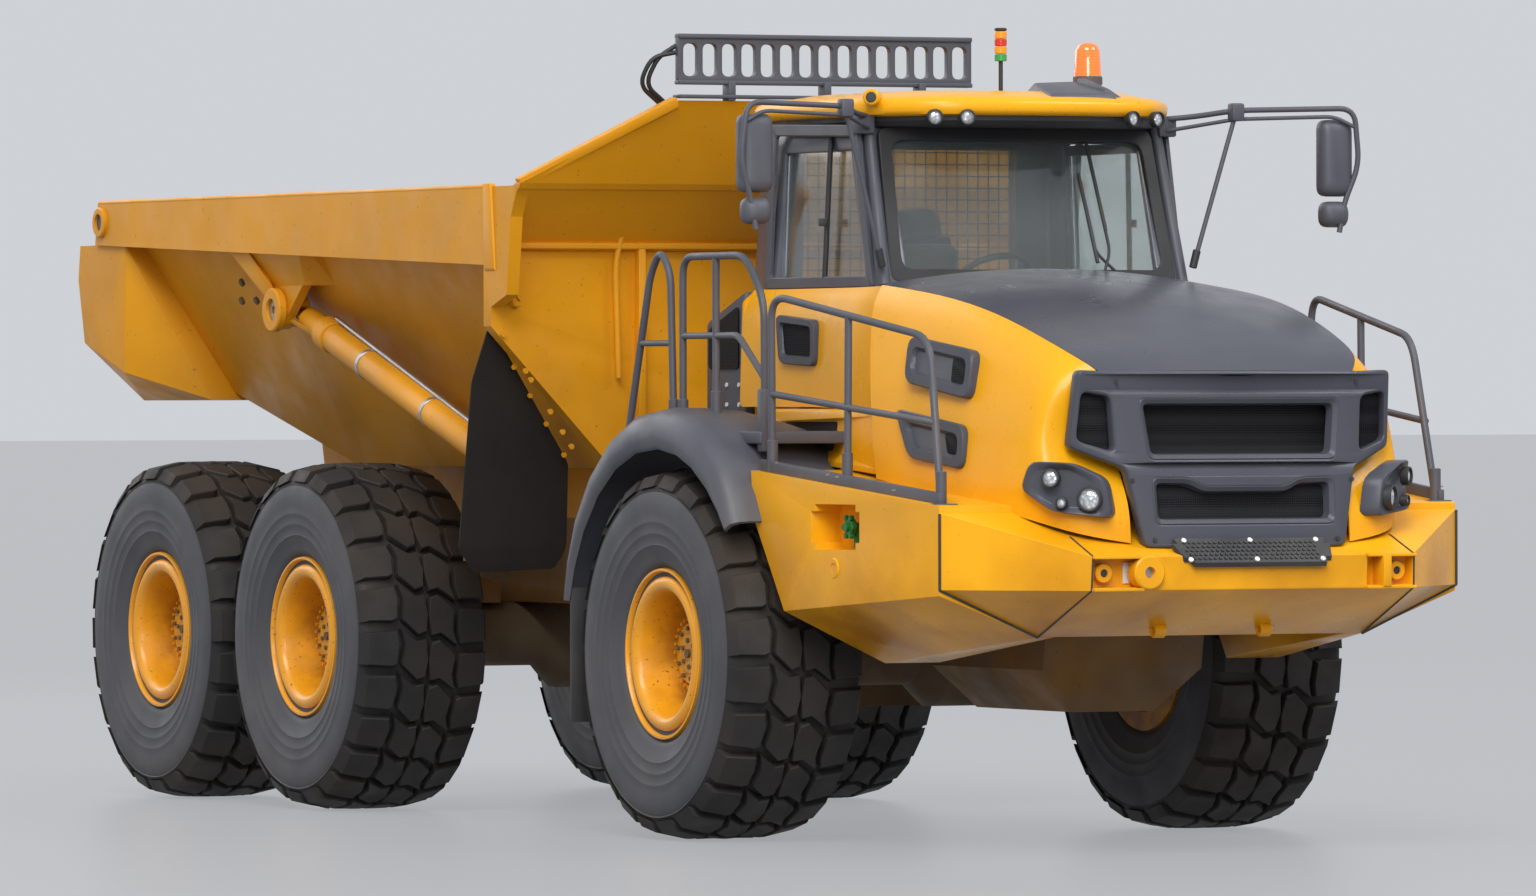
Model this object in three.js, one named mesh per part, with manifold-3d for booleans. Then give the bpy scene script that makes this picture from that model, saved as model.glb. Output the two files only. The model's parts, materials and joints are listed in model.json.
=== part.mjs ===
// Articulated dump truck: a front tractor unit and a rear haul unit, joined by a hitch that steers and twists.
// Millimetres. +Z is up, the truck faces -Y, and +X is its left side. Inside this file lengths are measured
// from the middle of the front axle: y backwards from it and z upwards from the axle centres.
import * as THREE from 'three';
import { mergeVertices } from 'three/addons/utils/BufferGeometryUtils.js';
import { ConvexGeometry } from 'three/addons/geometries/ConvexGeometry.js';
import Module from 'manifold-3d';

const wasm = await Module();
wasm.setup();

// ---- driving dimensions ----
// Seats: the gap kept where one piece rests on another, and where one runs past another.
const SEAT = 0.5;
const RUNNING = 8;

// Wheels.
const TYRE_RADIUS = 925;
const TYRE_WIDTH = 750;
const TREAD_WIDTH = 690;
const RIM_SEAT_RADIUS = 335;
const RIM_FLANGE_RADIUS = 425;
const RIM_WIDTH = 606;
const RIM_WALL = 23;
const HUB_FACE_RADIUS = 200;
const HUB_DEPTH = 254;
const WHEEL_SIDES = 20;

// Axles and running gear.
const TRACK = 2710;
const WHEELBASE = 4400;
const BOGIE_GAP = 100;
const BOGIE_SPACING = 2 * TYRE_RADIUS + BOGIE_GAP;
const AXLE_TUBE_RADIUS = 170;
const FRONT_DIFF_RADIUS = 280;
const REAR_DIFF_RADIUS = 290;
const FRONT_DIFF_HALF_WIDTH = 320;
const BEAM_WIDTH = 140;
const BEAM_HEIGHT = 195;
const BEAM_OVERHANG = 150;
const BEAM_TO_TYRE = 260;
const BOGIE_TUBE_RADIUS = 80;

// Hitch: steering pivot behind the front axle and the twisting ring behind the pivot.
const PIVOT_Y = 1300;
const TWIST_Z = 75;
const HITCH_HALF_HEIGHT = 290;
const LUG_THICKNESS = 80;
const PIVOT_RADIUS = 150;
const RING_RADIUS = 300;
const RING_Y = PIVOT_Y + 320;
const STUB_RADIUS = 120;
const STUB_LENGTH = 180;
const STEER_PIN_X = 500;
const STEER_PIN_Y = 350;
const STEER_ARM_X = 420;
const STEER_ARM_Y = PIVOT_Y + 170;
const STEER_Z = 80;
const STEER_STROKE = 320;
const STEER_BARREL_RADIUS = 52;
const STEER_EYE_HALF = 56;

// Front frame.
const FRONT_RAIL_IN = 430;
const FRONT_RAIL_OUT = 550;
const FRONT_RAIL_LOW = 230;
const FRONT_RAIL_TOP = 560;
const FRONT_RAIL_REAR = 980;
const HEAD_HALF_WIDTH = 250;

// Bumper, side boxes, decks and mudguards.
const NOSE_Y = -3070;
const BUMPER_REAR_Y = -2497;
const BUMPER_HALF_WIDTH = 1419;
const BOX_OVER_TYRE = 145;
const BOX_TO_TYRE = 175;
const BOX_HALF_WIDTH = 1570;
const BOX_INNER_X = 800;
const GUARD_GAP = 75;
const GUARD_THICKNESS = 45;
const GUARD_RADIUS = TYRE_RADIUS + GUARD_GAP;
const GUARD_REAR_ANGLE = 16;
const GUARD_FRONT_ANGLE = 130;
const DECK_THICKNESS = 60;
const DECK_Z = GUARD_RADIUS + GUARD_THICKNESS + SEAT;
const DECK_TOP = DECK_Z + DECK_THICKNESS;
const DECK_HALF_WIDTH = 1500;
const DECK_FRONT_Y = -740;
const DECK_REAR_Y = 700;
const RAIL_RADIUS = 19;

// Cab.
const CAB_Z = DECK_TOP + SEAT;
const CAB_HALF_WIDTH = 860;
const CAB_WALL = 60;
const CAB_FRONT_Y = -800;
const CAB_REAR_Y = 620;
const CAB_HEIGHT = 1510;
const CAB_TOP_HALF_WIDTH = 825;
const CAB_TOP_FRONT_Y = -540;
const CAB_SILL = 715;
const DOOR_FRONT_Y = -700;
const DOOR_REAR_Y = 380;
const DOOR_GAP = 8;
const DOOR_THICKNESS = 50;
const KNUCKLE_RADIUS = 15.5;
const GLASS_THICKNESS = 14;
const GLASS_BED = 25;
const ROOF_HEIGHT = 175;
const ROOF_HALF_WIDTH = 880;

// Hood and engine.
const HOOD_REAR_Y = -840;
const HOOD_FOOT_SETBACK = 60;
const HOOD_WALL = 45;
const GRILLE_THICKNESS = 90;
const ENGINE_HALF_WIDTH = 400;
const ENGINE_FRONT_Y = -2250;
const ENGINE_REAR_Y = -1050;
const ENGINE_HEIGHT = 850;

// Rear frame, tipping body and hoist.
const REAR_RAIL_WIDTH = 120;
const RAIL_TO_BEAM = 130;
const RAIL_TO_DIFF = 10;
const REAR_RAIL_LOW = 175;
const REAR_RAIL_TOP = 525;
const HINGE_BEHIND_AXLE = 100;
const HINGE_RADIUS = 60;
const BIN_WIDTH = 3280;
const BIN_FRONT_Y = 2090;
const BIN_TAIL = 1170;
const BIN_WALL = 60;
const BIN_FLOOR_Z = 905;
const BIN_HEIGHT = 1455;
const BAND_FRONT_HEIGHT = 405;
const BAND_REAR_HEIGHT = 235;
const FLOOR_TO_TYRE = 80;
const SIDE_LEDGE = 130;
const TAIL_RISE_ANGLE = 18;
const HEADBOARD_HALF_WIDTH = 850;
const HEADBOARD_Z = 2795;
const HEADBOARD_Y = 1500;
const GRATING_HEIGHT = 263;
const FLAP_THICKNESS = 16;
const HOIST_INSET = 220;
const HOIST_LOW_Y = 2510;
const HOIST_LOW_Z = 950;
const HOIST_TOP_AHEAD = 1410;
const HOIST_TOP_Z = 1747;
const HOIST_BARREL_RADIUS = 80;
const HOIST_BORE_RADIUS = 50;
const HOIST_HEAD_SETBACK = 190;
const HOIST_EYE_HALF = 90;

// ---- places that follow from them ----
const MIDDLE_Y = WHEELBASE;
const REAR_Y = MIDDLE_Y + BOGIE_SPACING;
const BOGIE_Y = MIDDLE_Y + BOGIE_SPACING / 2;
const HINGE_Y = REAR_Y + HINGE_BEHIND_AXLE;
const HINGE_Z = REAR_RAIL_TOP;
const TAIL_Y = HINGE_Y + BIN_TAIL;
const TYRE_IN = (TRACK - TYRE_WIDTH) / 2;
const HUB_IN = TRACK / 2 - 180;
const BEAM_OUT = TYRE_IN - BEAM_TO_TYRE;
const REAR_RAIL_OUT = BEAM_OUT - BEAM_WIDTH - RAIL_TO_BEAM;
const REAR_RAIL_IN = REAR_RAIL_OUT - REAR_RAIL_WIDTH;
const REAR_DIFF_HALF_WIDTH = REAR_RAIL_IN - RAIL_TO_DIFF;
const BOX_REAR_Y = -(TYRE_RADIUS - BOX_OVER_TYRE);
const BOX_ARCH_Y = -(TYRE_RADIUS + BOX_TO_TYRE);
const BIN_HALF = BIN_WIDTH / 2;
const WALL_LEAN = (BIN_HALF - SIDE_LEDGE - TYRE_IN + FLOOR_TO_TYRE) / (BIN_HEIGHT - BAND_REAR_HEIGHT);
const HOIST_X = BIN_HALF - HOIST_INSET;
const BIN_TOP = BIN_FLOOR_Z + BIN_HEIGHT;
const HOIST_TOP_Y = HINGE_Y - HOIST_TOP_AHEAD;

// ---- materials ----
const paint = (color, roughness = 0.4) => new THREE.MeshStandardMaterial({ color, roughness, metalness: 0.1 });
const YELLOW = paint(0xf5a800);
const GRAPHITE = paint(0x4a4b55, 0.5);
const BLACK = paint(0x1c1c1e, 0.8);
const RUBBER = paint(0x26262a, 0.9);
const STEEL = new THREE.MeshStandardMaterial({ color: 0x8c8f94, roughness: 0.45, metalness: 0.8 });
const CHROME = new THREE.MeshStandardMaterial({ color: 0xd8dade, roughness: 0.15, metalness: 1 });
const GLASS = new THREE.MeshStandardMaterial({ color: 0x27343a, roughness: 0.05, metalness: 0 });
const SEAT_CLOTH = paint(0x2b2c30, 0.95);

// ---- shapes ----
const truck = new THREE.Group();
const SIDES = { right: -1, left: 1 };

function solid(geometry) {
  const bare = geometry.clone();
  for (const name of ['normal', 'uv', 'uv1', 'uv2']) bare.deleteAttribute(name);
  const merged = mergeVertices(bare.index ? bare.toNonIndexed() : bare, 1e-3);
  const mesh = new wasm.Mesh({
    numProp: 3,
    vertProperties: new Float32Array(merged.attributes.position.array),
    triVerts: new Uint32Array(merged.index.array),
  });
  return new wasm.Manifold(mesh);
}

function add(name, shape, material) {
  const mesh = shape.getMesh();
  const geometry = new THREE.BufferGeometry();
  geometry.setAttribute('position', new THREE.BufferAttribute(new Float32Array(mesh.vertProperties), 3));
  geometry.setIndex(new THREE.BufferAttribute(new Uint32Array(mesh.triVerts), 1));
  geometry.computeVertexNormals();
  const piece = new THREE.Mesh(geometry, material);
  piece.name = name;
  truck.add(piece);
}

const join = (...shapes) => shapes.reduce((sum, shape) => sum.add(shape));
const cut = (shape, ...tools) => tools.reduce((left, tool) => left.subtract(tool), shape);

function box(x0, x1, y0, y1, z0, z1) {
  const geometry = new THREE.BoxGeometry(Math.abs(x1 - x0), Math.abs(y1 - y0), Math.abs(z1 - z0));
  geometry.translate((x0 + x1) / 2, (y0 + y1) / 2, (z0 + z1) / 2);
  return solid(geometry);
}

// A flat outline of [y, z] points, extruded along X.
function sidePlate(points, x0, x1) {
  const outline = new THREE.Shape(points.map(([y, z]) => new THREE.Vector2(y, z)));
  const geometry = new THREE.ExtrudeGeometry(outline, { depth: Math.abs(x1 - x0), bevelEnabled: false });
  geometry.applyMatrix4(new THREE.Matrix4().set(0, 0, 1, Math.min(x0, x1), 1, 0, 0, 0, 0, 1, 0, 0, 0, 0, 0, 1));
  return solid(geometry);
}

// A flat outline of [x, z] points, extruded along Y.
function crossPlate(points, y0, y1) {
  const outline = new THREE.Shape(points.map(([x, z]) => new THREE.Vector2(x, z)));
  const geometry = new THREE.ExtrudeGeometry(outline, { depth: y1 - y0, bevelEnabled: false });
  geometry.applyMatrix4(new THREE.Matrix4().set(1, 0, 0, 0, 0, 0, -1, y1, 0, 1, 0, 0, 0, 0, 0, 1));
  return solid(geometry);
}

// A block with flat faces between its corner points.
const block = (points) => solid(new ConvexGeometry(points.map((point) => new THREE.Vector3(...point))));
const bothSides = (points) => points.flatMap(([x, y, z]) => [[x, y, z], [-x, y, z]]);

// A straight bar or tube between two points.
function bar(from, to, radius, sides = 8) {
  const start = new THREE.Vector3(...from);
  const along = new THREE.Vector3(...to).sub(start);
  const geometry = new THREE.CylinderGeometry(radius, radius, along.length(), sides);
  geometry.translate(0, along.length() / 2, 0);
  const turn = new THREE.Quaternion().setFromUnitVectors(new THREE.Vector3(0, 1, 0), along.clone().normalize());
  geometry.applyQuaternion(turn);
  geometry.translate(start.x, start.y, start.z);
  return solid(geometry);
}

// A bent tube through a list of points, its bends closed by balls.
function tube(points, radius = RAIL_RADIUS) {
  const parts = points.slice(1).map((point, i) => bar(points[i], point, radius, 6));
  const balls = points.slice(1, -1).map((point) => {
    const geometry = new THREE.SphereGeometry(radius, 6, 4);
    geometry.translate(...point);
    return solid(geometry);
  });
  return join(...parts, ...balls);
}

// A body of revolution about the X axis through [0, y, z]; the profile is [x, radius] points, its radii
// measured to the flats, and one flat faces down.
function turned(profile, y, z, sides = WHEEL_SIDES) {
  const flat = Math.cos(Math.PI / sides);
  const loop = profile.map(([x, radius]) => new THREE.Vector2(radius / flat, x));
  const geometry = new THREE.LatheGeometry(loop, sides);
  geometry.rotateY(Math.PI / sides);
  geometry.applyMatrix4(new THREE.Matrix4().set(0, 1, 0, 0, -1, 0, 0, y, 0, 0, 1, z, 0, 0, 0, 1));
  return outward(geometry);
}

// Manifold wants faces that point out, so a profile drawn the other way round is turned over.
function outward(geometry) {
  const shape = solid(geometry);
  if (shape.volume() > 0) return shape;
  const bare = geometry.index ? geometry.toNonIndexed() : geometry;
  const places = bare.attributes.position;
  for (let i = 0; i < places.count; i += 3) {
    const first = new THREE.Vector3().fromBufferAttribute(places, i + 1);
    const second = new THREE.Vector3().fromBufferAttribute(places, i + 2);
    places.setXYZ(i + 1, second.x, second.y, second.z);
    places.setXYZ(i + 2, first.x, first.y, first.z);
  }
  return solid(bare);
}

const mirrorX = (profile, side) => profile.map(([x, radius]) => [side * x, radius]);

// ---- wheels ----
function addWheel(place, side, y) {
  const centre = TRACK / 2;
  const half = RIM_WIDTH / 2;
  const tyreHalf = [
    [half - 1, RIM_SEAT_RADIUS + SEAT],
    [half - 1, RIM_FLANGE_RADIUS + 15],
    [TYRE_WIDTH / 2, TYRE_RADIUS * 0.71],
    [TREAD_WIDTH / 2, TYRE_RADIUS - 32],
    [TREAD_WIDTH / 3, TYRE_RADIUS],
  ];
  const tyre = [...tyreHalf, ...tyreHalf.map(([x, radius]) => [-x, radius]).reverse()];
  tyre.push(tyre[0]);
  const tyreLoop = tyre.map(([x, radius]) => [x + centre, radius]);
  add(`tyre_${place}`, turned(mirrorX(tyreLoop, side), y, 0), RUBBER);

  const flange = half + 19;
  const bore = RIM_SEAT_RADIUS - RIM_WALL;
  const hubFace = flange - HUB_DEPTH;
  const rim = [
    [HUB_IN - centre, 0],
    [HUB_IN - centre, HUB_FACE_RADIUS + 50],
    [-120, bore],
    [-flange, bore],
    [-flange, RIM_FLANGE_RADIUS],
    [-half, RIM_FLANGE_RADIUS],
    [-half, RIM_SEAT_RADIUS],
    [half, RIM_SEAT_RADIUS],
    [half, RIM_FLANGE_RADIUS],
    [flange, RIM_FLANGE_RADIUS],
    [flange, bore],
    [-40, bore],
    [-40, HUB_FACE_RADIUS + 40],
    [hubFace, HUB_FACE_RADIUS],
    [hubFace, 0],
  ].map(([x, radius]) => [x + centre, radius]);
  add(`rim_${place}`, turned(mirrorX(rim, side), y, 0), YELLOW);
}

for (const [name, side] of Object.entries(SIDES)) {
  addWheel(`front_${name}`, side, 0);
  addWheel(`middle_${name}`, side, MIDDLE_Y);
  addWheel(`rear_${name}`, side, REAR_Y);
}

// ---- axles: a banjo housing from hub to hub ----
function axle(y, diffRadius, diffHalfWidth) {
  const end = HUB_IN - SEAT;
  const half = [
    [end, 0],
    [end, AXLE_TUBE_RADIUS + 40],
    [end - 90, AXLE_TUBE_RADIUS + 40],
    [end - 120, AXLE_TUBE_RADIUS],
    [diffHalfWidth, AXLE_TUBE_RADIUS],
    [diffHalfWidth * 0.625, diffRadius],
  ];
  return turned([...half, ...half.map(([x, radius]) => [-x, radius]).reverse()], y, 0, 16);
}

const strut = (side) => {
  const x = side * (FRONT_RAIL_IN + FRONT_RAIL_OUT) / 2;
  return bar([x, 0, 0], [x, 0, FRONT_RAIL_LOW - SEAT], 58, 12);
};
add('front_axle', join(axle(0, FRONT_DIFF_RADIUS, FRONT_DIFF_HALF_WIDTH), strut(-1), strut(1)), STEEL);
add('middle_axle', axle(MIDDLE_Y, REAR_DIFF_RADIUS, REAR_DIFF_HALF_WIDTH), STEEL);
add('rear_axle', axle(REAR_Y, REAR_DIFF_RADIUS, REAR_DIFF_HALF_WIDTH), STEEL);

// ---- front frame: two rails, cross members, belly pan and the head that carries the pivot ----
function pivotLug(z0, z1) {
  const plate = box(-PIVOT_RADIUS, PIVOT_RADIUS, FRONT_RAIL_REAR - 60, PIVOT_Y, z0, z1);
  return join(plate, bar([0, PIVOT_Y, z0], [0, PIVOT_Y, z1], PIVOT_RADIUS, 20));
}

function frontFrame() {
  const front = BUMPER_REAR_Y + SEAT;
  const low = TWIST_Z - HITCH_HALF_HEIGHT - RUNNING - LUG_THICKNESS;
  const high = TWIST_Z + HITCH_HALF_HEIGHT + RUNNING;
  const rails = Object.values(SIDES).map((side) =>
    box(side * FRONT_RAIL_IN, side * FRONT_RAIL_OUT, front, FRONT_RAIL_REAR, FRONT_RAIL_LOW, FRONT_RAIL_TOP));
  const member = (y, depth, z1) =>
    box(-FRONT_RAIL_IN - 10, FRONT_RAIL_IN + 10, y, y + depth, FRONT_RAIL_LOW, z1);
  const pan = block(bothSides([
    [440, -1750, FRONT_RAIL_LOW + 10], [440, -480, FRONT_RAIL_LOW + 10],
    [230, -1600, -270], [230, -600, -270], [440, -1700, -60], [440, -520, -60],
  ]));
  const head = box(-HEAD_HALF_WIDTH, HEAD_HALF_WIDTH, FRONT_RAIL_REAR - 180, FRONT_RAIL_REAR + 30, low,
    FRONT_RAIL_TOP);
  const brackets = Object.values(SIDES).map((side) =>
    box(side * (STEER_PIN_X - 48), side * (STEER_PIN_X + 48), STEER_PIN_Y - 60, STEER_PIN_Y + 45,
      STEER_Z + STEER_EYE_HALF + SEAT, FRONT_RAIL_LOW + 10));
  return join(
    ...rails, pan, head, ...brackets,
    member(front, 110, FRONT_RAIL_LOW + 200),
    member(ENGINE_FRONT_Y + 60, 120, FRONT_RAIL_LOW + 80),
    member(ENGINE_REAR_Y - 180, 120, FRONT_RAIL_LOW + 80),
    member(FRONT_RAIL_REAR - 180, 180, FRONT_RAIL_TOP),
    pivotLug(low, low + LUG_THICKNESS),
    pivotLug(high, high + LUG_THICKNESS),
  );
}
add('front_frame', frontFrame(), YELLOW);

const engineLow = FRONT_RAIL_LOW + 80 + SEAT;
add('engine', box(-ENGINE_HALF_WIDTH, ENGINE_HALF_WIDTH, ENGINE_FRONT_Y, ENGINE_REAR_Y, engineLow,
  engineLow + ENGINE_HEIGHT), STEEL);

// ---- bumper: a folded plate beam, swept back to the side boxes ----
add('front_bumper', block([
  ...bothSides([
    [874, NOSE_Y + 36, 515], [879, NOSE_Y + 46, 352], [891, BUMPER_REAR_Y, 122], [876, -2788, 606],
    [BUMPER_HALF_WIDTH, BUMPER_REAR_Y, 353], [BUMPER_HALF_WIDTH, BUMPER_REAR_Y, 721],
    [876, BUMPER_REAR_Y, 721],
  ]),
]), YELLOW);

// ---- side boxes ahead of the front wheels; steps are cut into the left one ----
function sideBox(side) {
  const front = BUMPER_REAR_Y + SEAT;
  const shell = block([
    [BOX_HALF_WIDTH, BOX_REAR_Y, 915], [BUMPER_HALF_WIDTH, front, 755],
    [BOX_INNER_X, BOX_REAR_Y, 915], [BOX_INNER_X, front, 755],
    [BOX_HALF_WIDTH, BOX_REAR_Y - 20, 695], [BOX_HALF_WIDTH - 20, BOX_ARCH_Y, 231],
    [BUMPER_HALF_WIDTH, front, 325], [1100, BOX_ARCH_Y - 200, -25], [890, front, 121],
    [BOX_INNER_X, BOX_ARCH_Y - 200, -25], [BOX_INNER_X, front, 121], [BOX_INNER_X, BOX_REAR_Y - 20, 695],
  ].map(([x, y, z]) => [side * x, y, z]));
  if (side < 0) return shell;
  const steps = [60, 330, 600].map((z) =>
    box(BOX_HALF_WIDTH - 330, BOX_HALF_WIDTH + 100, -1620, -1160, z + 90, z + 270));
  return cut(shell, ...steps);
}

const boxTop = (y) => 755 + 160 * (y - BUMPER_REAR_Y - SEAT) / (BOX_REAR_Y - BUMPER_REAR_Y - SEAT);

// Handrail on a side box: two end posts, a middle post, a top bar and a middle bar.
function boxRail(side) {
  const at = (x, y, z) => [side * x, y, z];
  const foot = (y) => boxTop(y + RAIL_RADIUS) + SEAT;
  const legY = BOX_REAR_Y - 80;
  const outer = tube([at(1364, -2400, foot(-2400)), at(1364, -2400, foot(-2400) + 50), at(1329, -2226, 1559),
    at(1517, legY - 44, 1774), at(1500, legY, foot(legY) + 50), at(1500, legY, foot(legY))]);
  const middle = tube([at(1349, -2323, 1150), at(1507, legY - 17, 1290)]);
  const post = tube([at(1425, -1560, foot(-1560)), at(1423, -1560, 1668)]);
  return join(outer, middle, post);
}

for (const [name, side] of Object.entries(SIDES)) {
  add(`side_box_${name}`, sideBox(side), YELLOW);
  add(`box_rail_${name}`, boxRail(side), GRAPHITE);
}

// ---- mudguards: a curved plate over each front tyre, with a rubber flap hung behind ----
function mudguard(side) {
  const from = THREE.MathUtils.degToRad(GUARD_REAR_ANGLE);
  const to = THREE.MathUtils.degToRad(GUARD_FRONT_ANGLE);
  const steps = 10;
  const ring = (radius) => Array.from({ length: steps + 1 }, (_, i) => {
    const angle = from + (to - from) * i / steps;
    return [radius * Math.cos(angle), radius * Math.sin(angle)];
  });
  const arch = sidePlate([...ring(GUARD_RADIUS), ...ring(GUARD_RADIUS + GUARD_THICKNESS).reverse()],
    side * TYRE_IN, side * (TRACK / 2 + TYRE_WIDTH / 2 + 15));
  const [y, z] = [GUARD_RADIUS * Math.cos(from), GUARD_RADIUS * Math.sin(from)];
  const flap = box(side * (TYRE_IN + 220), side * (TRACK / 2 + TYRE_WIDTH / 2 - 10), y + 4, y + 24,
    -375, z + 20);
  const hanger = box(side * (TYRE_IN + 150), side * (DECK_HALF_WIDTH - 60), -50, 50, GUARD_RADIUS + 5,
    DECK_Z - SEAT);
  return join(arch, flap, hanger);
}

// ---- decks beside the cab, on posts from the frame ----
function deck(side) {
  const plate = box(side * FRONT_RAIL_IN, side * DECK_HALF_WIDTH, DECK_FRONT_Y, DECK_REAR_Y, DECK_Z, DECK_TOP);
  const post = (y) => box(side * FRONT_RAIL_IN, side * FRONT_RAIL_OUT, y, y + 150, FRONT_RAIL_TOP + SEAT,
    DECK_Z + 10);
  return join(plate, post(-650), post(500));
}

// The right deck has a rail along its whole edge; the left one is open where the door swings.
function deckRail(side) {
  const x = side * (DECK_HALF_WIDTH - 40);
  const foot = DECK_TOP + SEAT;
  const top = DECK_TOP + 855;
  const back = tube([[x, 300, foot], [x, 300, top - 60], [x, 350, top], [x, 480, top], [x, 655, foot + 50],
    [x, 655, foot]]);
  const rung = tube([[x, 300, foot + 420], [x, 566, foot + 420]]);
  if (side > 0) return join(back, rung);
  const front = tube([[x, -700, foot], [x, -700, top - 250], [x, -481, top], [x, 215, top], [x, 215, foot]]);
  const middle = tube([[x, -700, foot + 420], [x, 300, foot + 420]]);
  return join(back, rung, front, middle);
}

for (const [name, side] of Object.entries(SIDES)) {
  add(`mudguard_${name}`, mudguard(side), BLACK);
  add(`deck_${name}`, deck(side), YELLOW);
  add(`deck_rail_${name}`, deckRail(side), GRAPHITE);
}

// ---- cab: a hollow shell with its windows and door opening cut, a roof, glass, seat and console ----
const cabFloor = CAB_Z;
const cabCeiling = CAB_Z + CAB_HEIGHT;

function cabBlock(inset) {
  const sill = cabFloor + CAB_SILL;
  const low = inset ? cabFloor + inset : cabFloor;
  const high = inset ? cabCeiling + 100 : cabCeiling;
  return block(bothSides([
    [CAB_HALF_WIDTH - inset, CAB_FRONT_Y + inset, low], [CAB_HALF_WIDTH - inset, CAB_REAR_Y - inset, low],
    [CAB_HALF_WIDTH - inset, CAB_FRONT_Y + inset, sill], [CAB_TOP_HALF_WIDTH - inset, CAB_TOP_FRONT_Y + inset, high],
    [CAB_HALF_WIDTH - inset, CAB_REAR_Y - inset, sill], [CAB_TOP_HALF_WIDTH - inset, CAB_REAR_Y - inset - 30, high],
  ]));
}

const doorLow = cabFloor + 90;
const doorHigh = cabCeiling - 60;
const windowLow = cabFloor + CAB_SILL + 20;
const pillarLean = (CAB_TOP_FRONT_Y - CAB_FRONT_Y) / (CAB_HEIGHT - CAB_SILL);
const behindPillar = (z, setback) => DOOR_FRONT_Y + setback + pillarLean * Math.max(0, z - cabFloor - CAB_SILL);

// Outlines in side view; the front edges lean with the windscreen pillar.
function doorOutline(gap) {
  return sidePlate([
    [DOOR_FRONT_Y + gap, doorLow + gap], [DOOR_REAR_Y - gap, doorLow + gap], [DOOR_REAR_Y - gap, doorHigh - gap],
    [behindPillar(doorHigh, gap), doorHigh - gap], [DOOR_FRONT_Y + gap, cabFloor + CAB_SILL],
  ], CAB_TOP_HALF_WIDTH - CAB_WALL - 40, 1000);
}

function sideWindow(side, grow) {
  const low = windowLow + 20 - grow;
  const high = doorHigh - 60 + grow;
  const rear = DOOR_REAR_Y - 60 + grow;
  return sidePlate([[behindPillar(low, 75 - grow), low], [rear, low], [rear, high],
    [behindPillar(high, 75 - grow), high]], side * 500, side * 1000);
}
const frontWindow = (grow) => box(-700 - grow, 700 + grow, CAB_FRONT_Y - 50, CAB_TOP_FRONT_Y + 250,
  windowLow - grow, cabCeiling - 80 + grow);
const rearWindow = (grow) =>
  box(-600 - grow, 600 + grow, CAB_REAR_Y - 200, CAB_REAR_Y + 50, windowLow - grow, cabCeiling - 90 + grow);

function cabShell() {
  return cut(cabBlock(0), cabBlock(CAB_WALL), doorOutline(0), sideWindow(-1, 0), frontWindow(0), rearWindow(0));
}
add('cab_shell', cabShell(), YELLOW);

// Glass lies inside its opening, between the outer and inner faces of the wall.
const pane = (window) => cut(cabBlock(GLASS_BED), cabBlock(GLASS_BED + GLASS_THICKNESS)).intersect(window);
add('windscreen', pane(frontWindow(-SEAT)), GLASS);
add('side_glass', pane(sideWindow(-1, -SEAT)), GLASS);
add('rear_glass', pane(rearWindow(-SEAT)), GLASS);

function door() {
  const skin = cut(cabBlock(0), cabBlock(DOOR_THICKNESS));
  const knuckles = [doorLow + 90, cabFloor + CAB_SILL - 150].map((z) => {
    const x = CAB_HALF_WIDTH + KNUCKLE_RADIUS + SEAT;
    return join(
      bar([x, DOOR_FRONT_Y, z], [x, DOOR_FRONT_Y, z + 90], KNUCKLE_RADIUS, 12),
      box(CAB_HALF_WIDTH - 5, x + 6, DOOR_FRONT_Y + 14, DOOR_FRONT_Y + 90, z + 5, z + 85),
      box(x - 6, x + 6, DOOR_FRONT_Y, DOOR_FRONT_Y + 20, z + 5, z + 85),
    );
  });
  return join(cut(skin.intersect(doorOutline(DOOR_GAP)), sideWindow(1, 0)), ...knuckles);
}
add('cab_door', door(), YELLOW);
add('door_glass', pane(sideWindow(1, -SEAT)), GLASS);

const roofLow = cabCeiling + SEAT;
add('cab_roof', block(bothSides([
  [ROOF_HALF_WIDTH - 50, -605, roofLow], [ROOF_HALF_WIDTH - 30, 640, roofLow],
  [ROOF_HALF_WIDTH, -640, roofLow + 90], [ROOF_HALF_WIDTH, 667, roofLow + 70],
  [ROOF_HALF_WIDTH - 110, -520, roofLow + ROOF_HEIGHT], [ROOF_HALF_WIDTH - 110, 560, roofLow + ROOF_HEIGHT],
])), YELLOW);

const cabInside = cabFloor + CAB_WALL;
add('driver_seat', join(
  box(-260, 260, -120, 380, cabInside + SEAT, cabInside + 60),
  box(-120, 120, 0, 260, cabInside + 50, cabInside + 330),
  box(-260, 260, -140, 380, cabInside + 320, cabInside + 450),
  block(bothSides([[240, 300, cabInside + 440], [240, 400, cabInside + 440],
    [210, 400, cabInside + 1080], [210, 470, cabInside + 1080]])),
), SEAT_CLOTH);
const wheelRim = (() => {
  const geometry = new THREE.TorusGeometry(195, 16, 6, 16);
  geometry.rotateX(THREE.MathUtils.degToRad(-35));
  geometry.translate(0, -330, cabInside + 700);
  return solid(geometry);
})();
add('console', join(
  box(-760, 760, CAB_FRONT_Y + CAB_WALL + 20, -560, cabInside + 330, cabInside + 560),
  box(-120, 120, CAB_FRONT_Y + CAB_WALL + 20, -480, cabInside + SEAT, cabInside + 400),
  bar([0, -520, cabInside + 370], [0, -325, cabInside + 705], 26),
  bar([-195, -330, cabInside + 700], [195, -330, cabInside + 700], 14),
  wheelRim,
), BLACK);

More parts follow.
